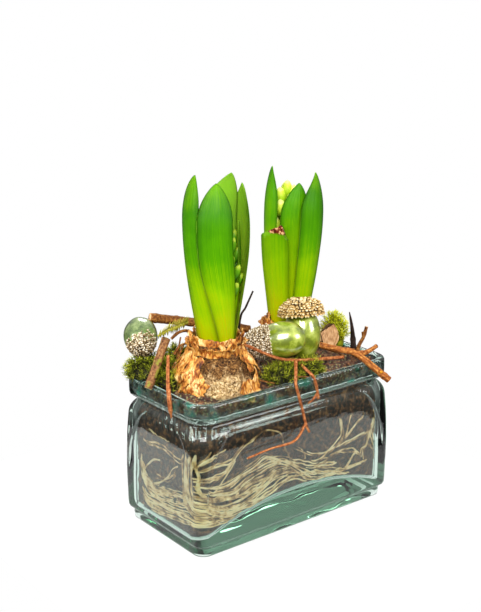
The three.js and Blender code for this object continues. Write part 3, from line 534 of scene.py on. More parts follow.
def dry_leaf_beige():
    # Dead leaf: beige, matt, with a pinkish cast and paler veins.
    material, add, surface, at = start_material("dry leaf", Roughness=0.7)
    veins = add("Mapping", {"Vector": at["UV"], "Scale": (9, 3, 1)})
    streak = add("TexNoise", {"Vector": veins, "Scale": 2.0, "Detail": 4.0})
    colour = add("ValToRGB", {0: streak}, stops=[
        (0.3, "#8c6038"), (0.5, "#b48656"), (0.7, "#dab284")])
    surface({"Base Color": colour})
    surface({"Normal": add("Bump", {"Height": streak, "Distance": 0.4 * MM, "Strength": 0.6})})
    return material


GLASS = pressed_glass()
SOIL = potting_soil()
LEAF_SHADES = {
    0: leaf_blade("hyacinth leaf"),
    0.25: leaf_blade("pale hyacinth leaf", paler=0.25),
    # painted light: 0.38 lightens the whole of a leaf whose inner face lies in shade
    0.38: leaf_blade("hyacinth leaf lightened as painted light", paler=0.38),
}
TORN_LEAF = leaf_blade("torn hyacinth leaf", paler=0.2, wither=0.688)
GREEN_BUD = flower_bud("green closed floret", "#1c4a02", "#387004", "#5c940c", "#9cb42c")
PALE_BUD = flower_bud("pale closed floret", "#5c9408", "#9cc01c", "#cfe044", "#e8ee84")
SKIN = bulb_skin()
HUSK = papery_husk()
ROOT = root_cream()
PEARL = pearl_lacquer("pearl green lacquer", "#66740c", "#8a9a1e", "#b4c050")
DEEP_PEARL = pearl_lacquer("deep green lacquer", "#33480e", "#5c742c", "#8c9c5c")
# the first colour of each cup is painted shade between its scales
BEIGE_SCALES = cap_scale("beige acorn cup scales", "#1c0e06", "#70501f", "#c09a58", "#f6e4b8")
GREY_SCALES = cap_scale("grey acorn cup scales", "#181008", "#5c4628", "#a08a64", "#f2e8d4")
# the deepest colours of the two mosses are painted shade among their shoots
MOSS = moss_shoots("cushion moss", "#120e02", "#424802", "#828c08", "#d2d240")
LIME_MOSS = moss_shoots("lime moss", "#646402", "#a4aa04", "#ccd010", "#eaea50")
FERN = moss_shoots("pale fern", "#b4b03c", "#ccc85c", "#dcd878", "#f0eca8")
SCAR = moss_shoots("yellow bud scar", "#b47810", "#d89c20", "#f0c048", "#f8dc84")
DRY = dry_leaf_beige()
RED_BARK = bark("reddish twig bark", "#4c200c", "#9a5428", "#c88a54", "#e2b478")
BROWN_BARK = bark("brown twig bark", "#361a08", "#754418", "#ac7838", "#d8b183")
LICHEN_BARK = bark("lichened twig bark", "#341a0c", "#7c5030", "#a8804e", "#c8b87c", lichen="#8a8830")
ORANGE_BARK = bark("orange-brown twig bark", "#42200c", "#96521e", "#d09448", "#e8c080")
DARK_BARK = bark("near-black twig bark", "#0c0605", "#20130e", "#3c2a20", "#6b5040")

# ------------------------------------------------------------------ camera, light and floor

# The viewing angle and distance, in m, come from the perspective of the rim and base corners.
CAMERA_LENS = 64.7
CAMERA_PLACE = Vector((-0.432817, -0.533996, 0.332479))
CAMERA_BACK = Vector((-0.59241102, -0.75907042, 0.26992829))  # from what it looks at, towards the camera
LAMP_TARGET = Vector((0, 0, 0.11))
LAMPS = (  # name, place, size and power
    ("key light", (-0.60, -0.78, 0.84), 0.70, 18),
    ("front light", (0.50, -0.95, 0.50), 0.50, 7),
    ("side light", (-1.00, 0.10, 0.55), 0.45, 8),
    ("back light", (0.55, 0.70, 0.85), 0.45, 5),
)
FLOOR_SIZE = 0.345


def studio():
    camera = bpy.data.cameras.new("camera")
    camera.lens = CAMERA_LENS
    camera.sensor_width = 36
    camera.clip_start = 0.05
    view = bpy.data.objects.new("camera", camera)
    view.location = CAMERA_PLACE
    view.rotation_euler = CAMERA_BACK.to_track_quat("Z", "Y").to_euler()
    bpy.context.scene.collection.objects.link(view)
    bpy.context.scene.camera = view
    bpy.context.scene.view_settings.view_transform = "Standard"

    # The backdrop is white to the eye; what lights the object is brighter above than below.
    world = bpy.data.worlds.new("pale studio")
    world.use_nodes = True
    tree = world.node_tree
    add = partial(add_node, tree)
    height = add("SeparateXYZ", {0: add("TexCoord").outputs["Generated"]}).outputs[2]
    soft = add("MapRange", {0: height, 1: -0.5, 2: 0.9, 3: 0.0, 4: 1.0})
    dome = add("ValToRGB", {0: soft}, stops=[
        (0.0, "#282828"), (0.34, "#747474"), (0.6, "#c8c8c8"), (1.0, "#f0f0f0")])
    seen = add("LightPath").outputs["Is Camera Ray"]
    shade = add("Mix", {0: seen, 6: dome, 7: (1, 1, 1, 1)}, data_type="RGBA")
    connect(tree, tree.nodes["Background"], {0: shade.outputs[2]})
    bpy.context.scene.world = world

    for name, place, size, power in LAMPS:
        lamp = bpy.data.lights.new(name, "AREA")
        lamp.size = size
        lamp.energy = power
        stand = bpy.data.objects.new(name, lamp)
        stand.location = place
        stand.rotation_euler = (Vector(place) - LAMP_TARGET).to_track_quat("Z", "Y").to_euler()
        bpy.context.scene.collection.objects.link(stand)

    bm = bmesh.new()
    bmesh.ops.create_grid(bm, x_segments=1, y_segments=1, size=FLOOR_SIZE / 2)
    mesh = bpy.data.meshes.new("floor")
    bm.to_mesh(mesh)
    bm.free()
    material = start_material(
        "backlit white floor", Base_Color=linear("#6c6c6c"), Roughness=0.9, Emission_Color=(1, 1, 1, 1),
        Emission_Strength=0.8)[0]
    mesh.materials.append(material)
    floor = bpy.data.objects.new("floor", mesh)
    bpy.context.scene.collection.objects.link(floor)


studio()

# ------------------------------------------------------------------ vase

CORNERS = ((1, -1, -90), (1, 1, 0), (-1, 1, 90), (-1, -1, 180))
BEVEL = 1.1  # width of the slope between a raised corner and a panel


def post_width(z):
    share = min(1, max(0, (z - 37) / 47))
    return lerp(6, 27, share ** 2.2)


def panel_depth(z):
    return PANEL_DEPTH * smoothstep(z, 32, 46) * (1 - smoothstep(z, 78, 82))


def floor_height(x):
    share = min(1, max(0, (x + HALF_LENGTH - WALL) / (VASE_LENGTH - 2 * WALL)))
    return FLOOR_ENDS + FLOOR_RISE * math.sin(math.pi * share) ** 0.7


def wall_columns(corner, post, slope, short, long):
    """Where the columns stand round the wall: corner, zone and share of that zone."""
    columns = []
    for index in range(4):
        columns += [(index, "corner", i / corner) for i in range(corner + 1)]
        panel = long if index % 2 else short
        for zone, count in (("post in", post), ("slope in", slope), ("panel", panel), ("slope out", slope),
                            ("post out", post)):
            columns += [(index, zone, i / count) for i in range(1, count + 1)]
        columns.pop()  # the next corner starts here
    return columns


def wall_point(column, z, inset, corner, recessed=True):
    index, zone, share = column
    sign_x, sign_y, start = CORNERS[index]
    half_x, half_y = HALF_LENGTH - inset, HALF_WIDTH - inset
    if zone == "corner":
        angle = math.radians(start + 90 * share)
        return Vector((sign_x * (half_x - corner) + corner * math.cos(angle),
                       sign_y * (half_y - corner) + corner * math.sin(angle), z))
    facing = math.radians(start + 90)
    outward = Vector((round(math.cos(facing)), round(math.sin(facing)), 0))
    along = Vector((-outward.y, outward.x, 0))
    reach = abs(outward.x) * half_x + abs(outward.y) * half_y
    half_side = abs(along.x) * half_x + abs(along.y) * half_y
    edge = half_side - max(post_width(z), corner + 1)
    ends = {
        "post in": (corner - half_side, -edge), "slope in": (-edge, BEVEL - edge),
        "panel": (BEVEL - edge, edge - BEVEL), "slope out": (edge - BEVEL, edge),
        "post out": (edge, half_side - corner),
    }[zone]
    slope = smoothstep(share, 0, 1)
    sunk = {"slope in": slope, "panel": 1, "slope out": 1 - slope}.get(zone, 0) if recessed else 0
    return outward * (reach - sunk * panel_depth(z)) + along * lerp(*ends, share) + Vector((0, 0, z))


OUTSIDE = [
    (0, 3.4, 7), (0.5, 2.6, 7.5), (1.6, 2.2, 8), (6.4, 2.1, 8), (7.2, 1.6, 8), (8, 0.5, 7), (9, 0.1, 6.4),
    (12, 0, 6), (24, 0, 5.4), (37, 0, 5), (50, 0, 6), (61, 0, 7.5), (70, 0, 9.5), (76.5, 0.2, 11),
    (80.5, 1.6, 12), (83.4, 4.6, 11), (85, 5, 11), (86.4, 4.4, 11.5), (87, 1.8, 12), (87.8, 0.5, 12.5),
    (90, 0, 12.8), (97.6, 0, 13), (99.2, 0.4, 12.6), (100, 1.6, 12),
]
INSIDE = [
    (100, 3.3, 11), (99.2, 4.6, 10.4), (97, 4.9, 10), (90.5, 4.9, 10), (87.6, 6.6, 10.4), (86, 8, 11),
    (82, 8, 11), (79, 6.6, 10.4), (76, 5.2, 10), (70, 4.5, 9), (56, 4.5, 9), (40, 4.5, 9),
]


def floor_rings(columns, inset, corner, lift, steps):
    """Rings of the arched floor, from its round edge to its middle."""
    rings = []
    fillet = 3
    for i in range(5):
        turn = math.pi / 2 * i / 4
        ring = []
        for column in columns:
            point = wall_point(column, 20, inset + fillet * (1 - math.cos(turn)), corner, recessed=False)
            point.z = floor_height(point.x) + lift + fillet * (1 - math.sin(turn))
            ring.append(point)
        rings.append(ring)
    rim = rings[-1]
    for i in range(1, steps + 1):
        share = 1 - i / steps
        rings.append([Vector((p.x * share, p.y * share, floor_height(p.x * share) + lift)) for p in rim])
    return rings


def ring_sheet(bm, rings):
    rows, count = len(rings) - 1, len(rings[0])
    return sheet(bm, count, rows, lambda u, v: rings[round(v * rows)][round(u * count) % count], closed=True)


def flutes(point):
    """How far the inside of the neck swings in and out, in upright ripples."""
    along = point.x - point.y
    here = 1 - smoothstep(along, -34, 4)
    ripple = math.sin(along * TAU / 6.6 + 2.4 * noise.noise(point / 16))
    return 0.34 * here * ripple * smoothstep(point.z, 71, 76) * (1 - smoothstep(point.z, 86, 90))


def make_vase():
    columns = wall_columns(corner=12, post=7, slope=4, short=34, long=66)
    rings = []
    foot = [wall_point(c, 0, 8, 7, recessed=False) for c in columns]
    for i in range(25):
        # the underside is slightly hollow and wavy, as it left the mould
        share = math.sin(math.pi / 2 * i / 24)
        rings.append([Vector((p.x * share, p.y * share, (0.7 + 0.5 * noise.noise(p * share / 19))
                              * (1 - share ** 10))) for p in foot])
    rings.append([wall_point(c, *OUTSIDE[0], recessed=False) for c in columns])
    for z, inset, corner in smooth_path(OUTSIDE, 84)[1:]:
        rings.append([wall_point(c, z, inset, corner) for c in columns])
    for z, inset, corner in smooth_path(INSIDE, 46):
        ring = [wall_point(c, z, inset, corner, recessed=False) for c in columns]
        rings.append([p - Vector((p.x, p.y, 0)).normalized() * flutes(p) for p in ring])
    bottom = [wall_point(c, 40, WALL, 9, recessed=False) for c in columns]
    for i in range(1, 9):
        rings.append([
            Vector((p.x, p.y, lerp(40, floor_height(p.x) + 3, i / 9))) for p in bottom])
    rings += floor_rings(columns, WALL, corner=9, lift=0, steps=24)
    bm = bmesh.new()
    ring_sheet(bm, rings)
    piece(bm, "pressed_glass_vase", GLASS, "glass", "vase")


make_vase()

# ------------------------------------------------------------------ soil


def soil_top(x, y):
    inside = max(0, 1 - (x / 78) ** 6) * max(0, 1 - (y / 40) ** 4)
    hollow = 4.5 * math.exp(-((x + 44) ** 2) / 620 - (y + 34) ** 2 / 120)
    across = math.sin(0.52 * x + 1.7 * math.sin(0.31 * y))
    along = math.cos(0.57 * y + 1.2 * math.sin(0.23 * x))
    clods = 0.9 * across * along + 0.6 * math.sin(0.93 * x - 0.71 * y)
    return 93.5 + 8.5 * inside ** 0.7 - hollow + clods


def crumbly(point, out):
    """A point of the soil's skin, pushed in or out along `out` by its crumbs."""
    push = rough(point, 5, 0.5) + rough(point, 1.9, 0.55) + rough(point, 0.9, 0.25)
    return point + out * push


def make_soil():
    columns = wall_columns(corner=10, post=8, slope=3, short=26, long=60)
    clearance = 1.5
    rings = floor_rings(columns, WALL + clearance, corner=8, lift=0.8, steps=26)[::-1]
    stations = [(40, WALL + clearance, 8), (70, WALL + clearance, 8), (76, 5.2 + clearance, 9),
                (81.5, 8.8, 10), (86.5, 8.8, 10), (90, 5.6, 9.5), (92.5, 5.3, 9.5)]
    bottom = [wall_point(c, 40, WALL + clearance, 8, recessed=False) for c in columns]
    for i in range(1, 10):
        rings.append([Vector((p.x, p.y, lerp(floor_height(p.x) + 4, 40, i / 10))) for p in bottom])
    for z, inset, corner in smooth_path(stations, 30):
        rings.append([wall_point(c, z, inset, corner, recessed=False) for c in columns])
    rings = [[crumbly(p, -Vector((p.x, p.y, 0)).normalized() if p.length else Vector()) for p in ring]
             for ring in rings]
    rim = [wall_point(c, 93, 5.3, 9.5, recessed=False) for c in columns]
    top_steps = 40
    for i in range(top_steps + 1):
        share = 1 - i / top_steps
        ring = []
        for p in rim:
            x, y = p.x * share, p.y * share
            ring.append(crumbly(Vector((x, y, soil_top(x, y))), Vector((0, 0, 1))))
        rings.append(ring)
    bm = bmesh.new()
    ring_sheet(bm, rings)
    crumb = template(lambda bm: bmesh.ops.create_icosphere(bm, subdivisions=1, radius=1))
    draw = random.Random(5)
    crumbs = 420
    for _ in range(crumbs):
        x, y = draw.uniform(-72, 72), draw.uniform(-34, 34)
        size = draw.uniform(0.5, 1.7)
        shape = (size * draw.uniform(0.7, 1.7), size * draw.uniform(0.6, 1), size * draw.uniform(0.4, 0.9))
        spin = Quaternion((draw.random(), draw.random(), draw.random()), draw.uniform(0, TAU))
        stamp(bm, crumb, placed((x, y, soil_top(x, y) + size * 0.3), spin, shape))
    piece(bm, "potting_soil", SOIL, "soil", "soil")


make_soil()

# ------------------------------------------------------------------ roots behind the glass

ROOT_INSET = WALL + GAP + 0.6
ROOT_CORNER = 8


def on_wall(distance, z, depth=0.0):
    """A point behind the glass: distance round the wall from the front corner, height, depth."""
    corner_x, corner_y = ROOT_INSET - HALF_LENGTH, ROOT_INSET - HALF_WIDTH
    arc = math.pi / 4 * ROOT_CORNER
    past_end = distance - arc - 2 * (-corner_x - ROOT_CORNER)
    drawn = depth + 3.6 * smoothstep(z, 72, 82)
    if distance < -arc:
        return Vector((corner_x + drawn, corner_y + ROOT_CORNER - distance - arc, z))
    if distance > arc and past_end < 0:
        return Vector((corner_x + ROOT_CORNER + distance - arc, corner_y + drawn, z))
    at_end = past_end >= 0
    start, run = (-90, past_end) if at_end else (225, distance)
    angle = math.radians(start) + run / ROOT_CORNER
    reach = ROOT_CORNER - drawn
    centre_x = (corner_x + ROOT_CORNER) * (-1 if at_end else 1)
    return Vector((centre_x + reach * math.cos(angle), corner_y + ROOT_CORNER + reach * math.sin(angle), z))


# Each bundle: its middle strand as [distance, height], how many strands, and how far they spread.
ROOT_BUNDLES = {
    "front": [
        ([(-15, 67), (-16, 53), (-15, 41), (-13, 31), (-4, 27), (12, 21), (24, 19)], 4, 2.2),
        ([(-11, 69), (-12, 51), (-10, 38), (-4, 31), (9, 25), (22, 21)], 4, 2.2),
        ([(-7, 70), (-7, 53), (-8, 43), (-3, 34), (6, 28), (18, 22), (34, 22)], 4, 2.2),
        ([(-3, 70), (-4, 57), (-4, 42), (1, 34), (12, 27), (30, 24)], 4, 2.2),
        ([(-64, 31), (-60, 24), (-54, 20), (-43, 20), (-28, 21), (-9, 24), (10, 22), (26, 20)], 5, 2.6),
        ([(-64, 25), (-56, 17), (-46, 16), (-30, 17), (-8, 19), (7, 19), (20, 19)], 3, 2.2),
        ([(-62, 35), (-54, 28), (-43, 26), (-29, 28), (-17, 30), (-4, 32), (8, 30)], 7, 4.5),
        ([(-55, 13), (-35, 14), (-13, 18), (0, 21), (10, 19)], 2, 1),
        ([(-63, 50), (-62, 40), (-58, 33), (-50, 29), (-35, 30), (-18, 35), (-6, 38)], 4, 2.5),
        ([(-62, 47), (-60, 38), (-56, 32), (-45, 29), (-29, 31), (-14, 28)], 4, 3),
        ([(-62, 62), (-53, 58), (-36, 59), (-25, 57), (-16, 55)], 2, 1.5),
        ([(-54, 68), (-43, 67), (-30, 66)], 1, 0.5),
        ([(-36, 47), (-40, 50), (-49, 48), (-58, 40), (-59, 33), (-50, 31), (-36, 38), (-27, 49),
          (-18, 54)], 2, 1.2),
        ([(-26, 52), (-24, 46), (-33, 38), (-46, 37)], 2, 2),
        ([(-6, 56), (0, 60), (8, 64), (13, 65), (19, 64)], 2, 1.2),
        ([(-4, 58), (1, 64), (5, 69)], 1, 0.5),
        ([(-6, 54), (6, 58), (20, 58), (28, 64), (39, 68)], 2, 1.5),
        ([(-6, 53), (3, 51), (14, 51), (19, 55), (25, 60)], 2, 1.2),
        ([(-5, 50), (6, 49), (13, 50), (23, 60)], 2, 1),
        ([(4, 41), (10, 43), (18, 52), (25, 59)], 1, 0.5),
        ([(-9, 48), (2, 45), (15, 43), (28, 47), (40, 51), (47, 54), (58, 49), (70, 41), (81, 31),
          (91, 26)], 5, 2.5),
        ([(-9, 44), (4, 41), (20, 39), (32, 44), (44, 47), (56, 49), (66, 46), (78, 36), (89, 29)], 6, 3),
        ([(-8, 40), (6, 36), (23, 35), (36, 38), (47, 40), (58, 43), (70, 40), (84, 33)], 6, 3),
        ([(-8, 37), (3, 33), (15, 28), (28, 28), (44, 34), (54, 39), (67, 38), (78, 32)], 6, 3),
        ([(0, 33), (13, 25), (27, 24), (39, 25), (50, 28)], 3, 2),
        ([(27, 62), (35, 67), (45, 71), (54, 70), (60, 67), (62, 60), (66, 53), (70, 46), (81, 44), (78, 50),
          (69, 57)], 1, 0.3),
        ([(16, 38), (27, 33), (38, 34), (47, 35), (54, 40), (67, 38), (78, 33)], 4, 2.5),
        ([(28, 26), (41, 27), (53, 29), (60, 32), (71, 34), (86, 29)], 4, 2.5),
    ],
    "back": [
        ([(144, 51), (127, 47), (114, 45), (104, 44), (95, 43), (87, 45), (78, 50), (69, 57)], 2, 1.2),
        ([(110, 69), (112, 61), (113, 52), (107, 46), (100, 42), (93, 39), (84, 41)], 2, 1.5),
        ([(134, 31), (126, 36), (117, 39), (106, 40), (97, 37), (86, 39)], 3, 1.8),
        ([(121, 66), (117, 52), (110, 46)], 1, 0.4),
        ([(132, 68), (131, 61), (125, 57), (114, 49), (104, 44)], 2, 1.2),
        ([(126, 38), (121, 31), (114, 27)], 2, 1),
        ([(141, 56), (139, 45), (142, 37), (146, 31), (146, 24)], 3, 2),
        ([(143, 60), (137, 40), (132, 36), (133, 28)], 2, 1.5),
        ([(140, 28), (124, 27), (116, 27), (105, 29), (89, 33), (76, 36)], 4, 2.2),
        ([(124, 23), (111, 25), (100, 27), (86, 29), (72, 35)], 3, 2),
        ([(142, 66), (146, 52), (150, 40), (148, 28)], 3, 2),
        ([(112, 34), (100, 34), (88, 37), (76, 42), (62, 47)], 3, 2.5),
    ],
}


def make_roots(side):
    draw = random.Random(31 if side == "front" else 47)
    bm = bmesh.new()
    for strand, count, spread in ROOT_BUNDLES[side]:
        guide = smooth_path([(d, z, 0) for d, z in strand], 34)
        for n in range(count):
            step = (n + draw.uniform(-0.3, 0.3)) / max(1, count - 1) - 0.5 if n else 0
            shift = Vector((draw.gauss(0, 0.6) * spread, 2.1 * step * spread))
            tilt = draw.uniform(-0.45, 0.45) * spread
            wave, turn = draw.uniform(0.2, 0.8), draw.uniform(0, TAU)
            first = draw.randrange(0, 4) if n else 0
            last = len(guide) - (draw.randrange(0, 7) if n else 0)
            seen = guide[first:last]
            points = []
            for i, point in enumerate(seen):
                share = i / (len(seen) - 1)
                open_out = smoothstep(share, 0, 0.3)
                sway = wave * math.sin(turn + 8 * share) + 0.25 * math.sin(2 * turn + 31 * share)
                sway += tilt * (2 * share - 1)
                distance = point.x + open_out * shift.x + 0.5 * sway
                height = point.y + open_out * shift.y + sway
                height = max(height, 2.0 + floor_height(on_wall(distance, 20).x))
                deep = 0.1 + 0.7 * (0.5 + 0.5 * math.sin(turn * 3 + 9 * share))
                deep += 2.5 * (1 - smoothstep(share, 0, 0.1)) + 1.6 * smoothstep(share, 0.94, 1)
                points.append(on_wall(distance, height, deep))
            thick = draw.uniform(0.52, 0.76) if n < 3 else draw.uniform(0.32, 0.5)
            tube(bm, points, lambda t, a: thick * (1 - 0.45 * t ** 2), sides=6, smooth=False,
                 shade=draw.random())
    piece(bm, "roots_behind_glass_" + side, ROOT, "roots", "roots_" + side)


make_roots("front")
make_roots("back")

# ------------------------------------------------------------------ bulbs

BULB_OUTLINE = [(0, 0.3), (0.05, 0.62), (0.16, 0.87), (0.32, 0.99), (0.5, 1), (0.64, 0.97), (0.75, 0.88),
                (0.85, 0.72), (0.93, 0.64), (1, 0.62)]


def bulb_radius(plant, share):
    for (s0, r0), (s1, r1) in zip(BULB_OUTLINE, BULB_OUTLINE[1:]):
        if share <= s1:
            straight = (share - s0) / (s1 - s0)
            return plant["radius"] * lerp(r0, r1, smoothstep(share, s0, s1) * 0.4 + 0.6 * straight)
    return plant["radius"] * BULB_OUTLINE[-1][1]


def round_plant(plant, reach, degrees, z):
    angle = math.radians(FRONT_CORNER + degrees)
    return Vector((plant["x"] + reach * math.cos(angle), plant["y"] + reach * math.sin(angle), z))


def husk_flake(bm, plant, draw, turn, width, top, bottom, lift):
    """A ragged papery flake that clings at its top and stands off at its lower edge."""
    seed = draw.uniform(0, 50)

    def place(u, v):
        ragged = 1 + 0.5 * noise.noise(Vector((seed, 4 * v, 2 * u)))
        share = lerp(top, bottom, v) + 0.09 * v * noise.noise(Vector((seed, 3 * u, 9)))
        share += 0.05 * (1 - v) * noise.noise(Vector((seed, 5 * u, 3)))
        degrees = turn + (u - 0.5) * width * ragged
        curl = lift * v ** 2.5 + 0.4 * lift * abs(2 * u - 1) ** 4
        spot = Vector((seed + 0.35 * degrees, seed, 36 * share))
        crumple = crease(spot, 9, 1.5) + crease(spot, 4, 0.7) + crease(spot, 1.8, 0.25)
        reach = bulb_radius(plant, share) + 0.7 + curl + crumple * (0.35 + 0.65 * v)
        return round_plant(plant, reach, degrees, lerp(plant["foot"], plant["neck"], share))

    sheet(bm, 16, 14, place)


def torn_collar(bm, plant, draw, reach, low, high, lip, rag):
    """A ragged ring of husk round the leaves, its edge rolled outwards."""
    seed = draw.uniform(0, 50)

    def place(u, v):
        around = Vector((math.cos(TAU * u), math.sin(TAU * u), seed))
        ragged = noise.noise(around * 2.2) + 0.7 * noise.noise(around * 6) + 0.4 * noise.noise(around * 15)
        z = plant["neck"] + lerp(low + 2.5 * rough(around * 3, 1, 1), high + rag * ragged, v)
        out = reach + lip * v ** 3 + 0.9 * noise.noise(around * 2 + Vector((0, 0, v))) * (0.3 + v)
        point = round_plant(plant, out, 360 * u, z)
        return round_plant(plant, out + crease(point, 5, 1.0), 360 * u, z)

    sheet(bm, 120, 8, place, closed=True)


def collar_tatter(bm, plant, draw, turn, width, height, flare):
    """A torn strip of the collar that stands up round the leaves."""
    seed = draw.uniform(0, 50)

    def place(u, v):
        ragged = 0.7 + 0.5 * noise.noise(Vector((seed, 4 * u, 0)))
        ragged += 0.35 * noise.noise(Vector((11 * u, seed, 0)))
        narrow = 1 - 0.75 * v ** 1.5
        z = plant["neck"] - 3 + (3 + height * ragged) * v
        spot = Vector((seed + 8 * u, seed, z))
        reach = NECK_RADIUS - 0.6 + flare * v ** 2 + crease(spot, 4, 1.0) * (0.4 + v)
        return round_plant(plant, reach, turn + (u - 0.5) * width * narrow + 6 * v * noise.noise(spot / 5), z)

    sheet(bm, 10, 10, place)


def thicken(thin, thickness):
    """Gives sheets a thickness, without the spikes of an even offset at sharp folds."""
    bmesh.ops.recalc_face_normals(thin, faces=thin.faces)
    made = bmesh.ops.extrude_face_region(thin, geom=thin.faces[:], use_keep_orig=True)["geom"]
    thin.normal_update()
    for vert in made:
        if isinstance(vert, bmesh.types.BMVert):
            vert.co += vert.normal * thickness


# turn, width, height and flare of the tatters that stand out in the collar, and of the large flakes: turn,
# width, top and bottom as shares of the bulb's height, and how far the lower edge stands off.
TATTERS = {
    "front": [(84, 34, 9.5, 0.6), (97, 26, 6, 1.6), (-72, 30, 5, 2.4), (-98, 34, 6, 1.4), (-50, 24, 3, 1.2),
              (40, 30, 2.6, 0.6), (150, 40, 6, 0.8), (200, 44, 4, 0.5), (235, 30, 7, 1.0)],
    "back": [(-70, 44, 9, -2.6), (-60, 30, 5, 1.2), (-20, 40, 3, 0.6), (40, 40, 3, 0.8), (95, 36, 5, 1.2),
             (150, 44, 6, 0.6), (210, 40, 5, 0.8)],
}
FLAKES = {
    "front": [(-60, 92, 0.64, 0.34, 3.6), (-42, 40, 0.5, 0.32, 2.0), (58, 40, 0.62, 0.42, 1.8),
              (-74, 44, 0.92, 0.62, 1.8), (-38, 30, 0.88, 0.62, 1.4), (-92, 50, 0.78, 0.46, 2.6),
              (-56, 30, 0.76, 0.52, 2.0), (-28, 24, 0.74, 0.5, 1.6), (-30, 26, 0.56, 0.36, 2.2),
              (74, 40, 0.94, 0.7, 1.6), (-114, 56, 0.94, 0.62, 1.6), (47, 12, 0.5, 0.36, 1.8)],
    "back": [(-60, 60, 0.9, 0.6, 1.2), (0, 60, 0.8, 0.5, 1.2), (60, 60, 0.9, 0.6, 1.4)],
}


def make_bulb(side, far_flakes):
    plant = PLANTS[side]
    draw = random.Random(plant["seed"])

    def skin(u, v):
        if v in (0, 1):
            end = plant["foot"] if v < 0.5 else plant["neck"] - NECK_HOLE_DEPTH
            return Vector((plant["x"], plant["y"], end))
        if v > 0.9:  # down inside the neck
            depth = (v - 0.9) / 0.1
            return round_plant(plant, lerp(15.2, 12.5, depth), 360 * u, plant["neck"] - 0.5 - 9 * depth)
        share = v / 0.9
        z = lerp(plant["foot"], plant["neck"] - 0.5, share)
        angle = TAU * u
        folds = 0.35 * math.sin(9 * angle + 2 * share) + 0.3 * math.sin(15 * angle - 3 * share)
        point = round_plant(plant, bulb_radius(plant, share), 360 * u, z)
        crumbs = crease(point, 8, 0.9) + rough(point, 1.7, 0.9) + rough(point, 0.8, 0.5)
        return round_plant(plant, bulb_radius(plant, share) - 0.5 + folds + crumbs, 360 * u, z)

    bm = bmesh.new()
    sheet(bm, 140, 100, skin, closed=True)
    piece(bm, "hyacinth_bulb_" + side, SKIN, "bulb_tunic", "bulb_" + side)

    husk = bmesh.new()
    torn_collar(husk, plant, draw, reach=17.2, low=-7, high=-0.6, lip=2.4, rag=1.8)
    torn_collar(husk, plant, draw, reach=14.6, low=-6, high=3.2, lip=0.2, rag=2.2)
    for turn, width, height, flare in TATTERS[side]:
        collar_tatter(husk, plant, draw, turn, width, height, flare)
    for turn, width, top, bottom, lift in FLAKES[side]:
        husk_flake(husk, plant, draw, turn, width, top, bottom, lift)
    for n in range(far_flakes):
        top = draw.uniform(0.55, 0.95)
        husk_flake(husk, plant, draw, lerp(85, 235, (n + 0.5) / far_flakes), draw.uniform(34, 70), top,
                   top - draw.uniform(0.16, 0.34), draw.uniform(0.4, 1.8))
    thicken(husk, thickness=0.25)
    piece(husk, "dry_husk_" + side, HUSK, "bulb_tunic")


make_bulb("front", far_flakes=12)
make_bulb("back", far_flakes=8)

# ------------------------------------------------------------------ leaves


def blend(values, s):
    foot, widest, tip = values
    if s <= LEAF_WIDEST:
        return lerp(foot, widest, math.sin(math.pi / 2 * s / LEAF_WIDEST) ** 1.25)
    return lerp(widest, tip, ((s - LEAF_WIDEST) / (1 - LEAF_WIDEST)) ** 2)


def make_leaf(side, number, leaf):
    plant = PLANTS[side]
    foot = plant["neck"] - NECK_HOLE_DEPTH + GAP
    torn = leaf.get("torn")
    seed = number * 7 + plant["seed"]

    def height(across, v):
        if not torn:
            return lerp(foot, leaf["tip"], 1 - (1 - v) ** 1.45)
        # a scab stands up from the torn edge
        scab = 8 * smoothstep(across, -0.5, 0.5) * (1 - smoothstep(across, 0.66, 0.8))
        ragged = 0.8 * math.sin(13 * across) + 1.6 * noise.noise(Vector((5 * across, seed, 0)))
        return lerp(foot, torn, v) + v ** 8 * (scab + ragged - 1)

    def place(u, v):
        # u runs over the outer face and back over the inner one.
        outer = u <= 0.5
        across = 4 * u - 1 if outer else 3 - 4 * u
        z = height(across, v)
        s = (z - foot) / (leaf["tip"] - foot)
        narrow = math.sin(math.pi / 2 * min(1, max(0, leaf["tip"] - z) / LEAF_TIP_LENGTH)) ** 0.72
        half = leaf["half"] * narrow * lerp(leaf["foot_share"], 1, smoothstep(s, 0, 0.6))
        thickness = lerp(2.3, 1.6, s) * (1 - across ** 4) ** 0.5 * (0.35 + 0.65 * narrow)
        ribs = 0.07 * math.cos(22 * across) if outer else 0
        wave = 0.35 * noise.noise(Vector((seed, 0.03 * z, across)))
        reach = blend(leaf["radius"], s) + ribs + wave - (0.0 if outer else thickness)
        reach -= 0.5 * thickness * across ** 2 if outer else 0
        degrees = blend(leaf["turn"], s) + math.degrees(across * half / blend(leaf["radius"], s))
        point = round_plant(plant, reach, degrees, z)
        return point + Vector((plant["lean"][0], plant["lean"][1], 0)) * (z - foot)

    def mark(u, v):
        side_to_side = 2 * u if u <= 0.5 else 2 - 2 * u
        return (side_to_side + 2 * (u > 0.5), (height(2 * side_to_side - 1, v) - foot) / (leaf["tip"] - foot))

    bm = bmesh.new()
    sheet(bm, 48, 72, place, mark, closed=True)
    bmesh.ops.holes_fill(bm, edges=bm.edges[:], sides=0)
    material = TORN_LEAF if torn else LEAF_SHADES[leaf.get("pale", 0)]
    piece(bm, f"leaf_blade_{side}_{number}", material, "leaf", f"leaf_{side}_{number}")


for plant_side, blades in LEAVES.items():
    for number, blade in enumerate(blades, 1):
        make_leaf(plant_side, number, blade)

# ------------------------------------------------------------------ flower spikes


def floret(bm):
    """A closed floret of unit radius and height, with six seams."""
    def place(u, v):
        bulge = math.sin(math.pi * (0.06 + 0.94 * v)) ** 0.6 if 0 < v < 1 else 0
        seams = 1 - 0.13 * abs(math.cos(3 * TAU * u)) * smoothstep(v, 0.2, 0.8)
        return Vector((bulge * seams * math.cos(TAU * u), bulge * seams * math.sin(TAU * u), v))
    sheet(bm, 18, 10, place, closed=True)


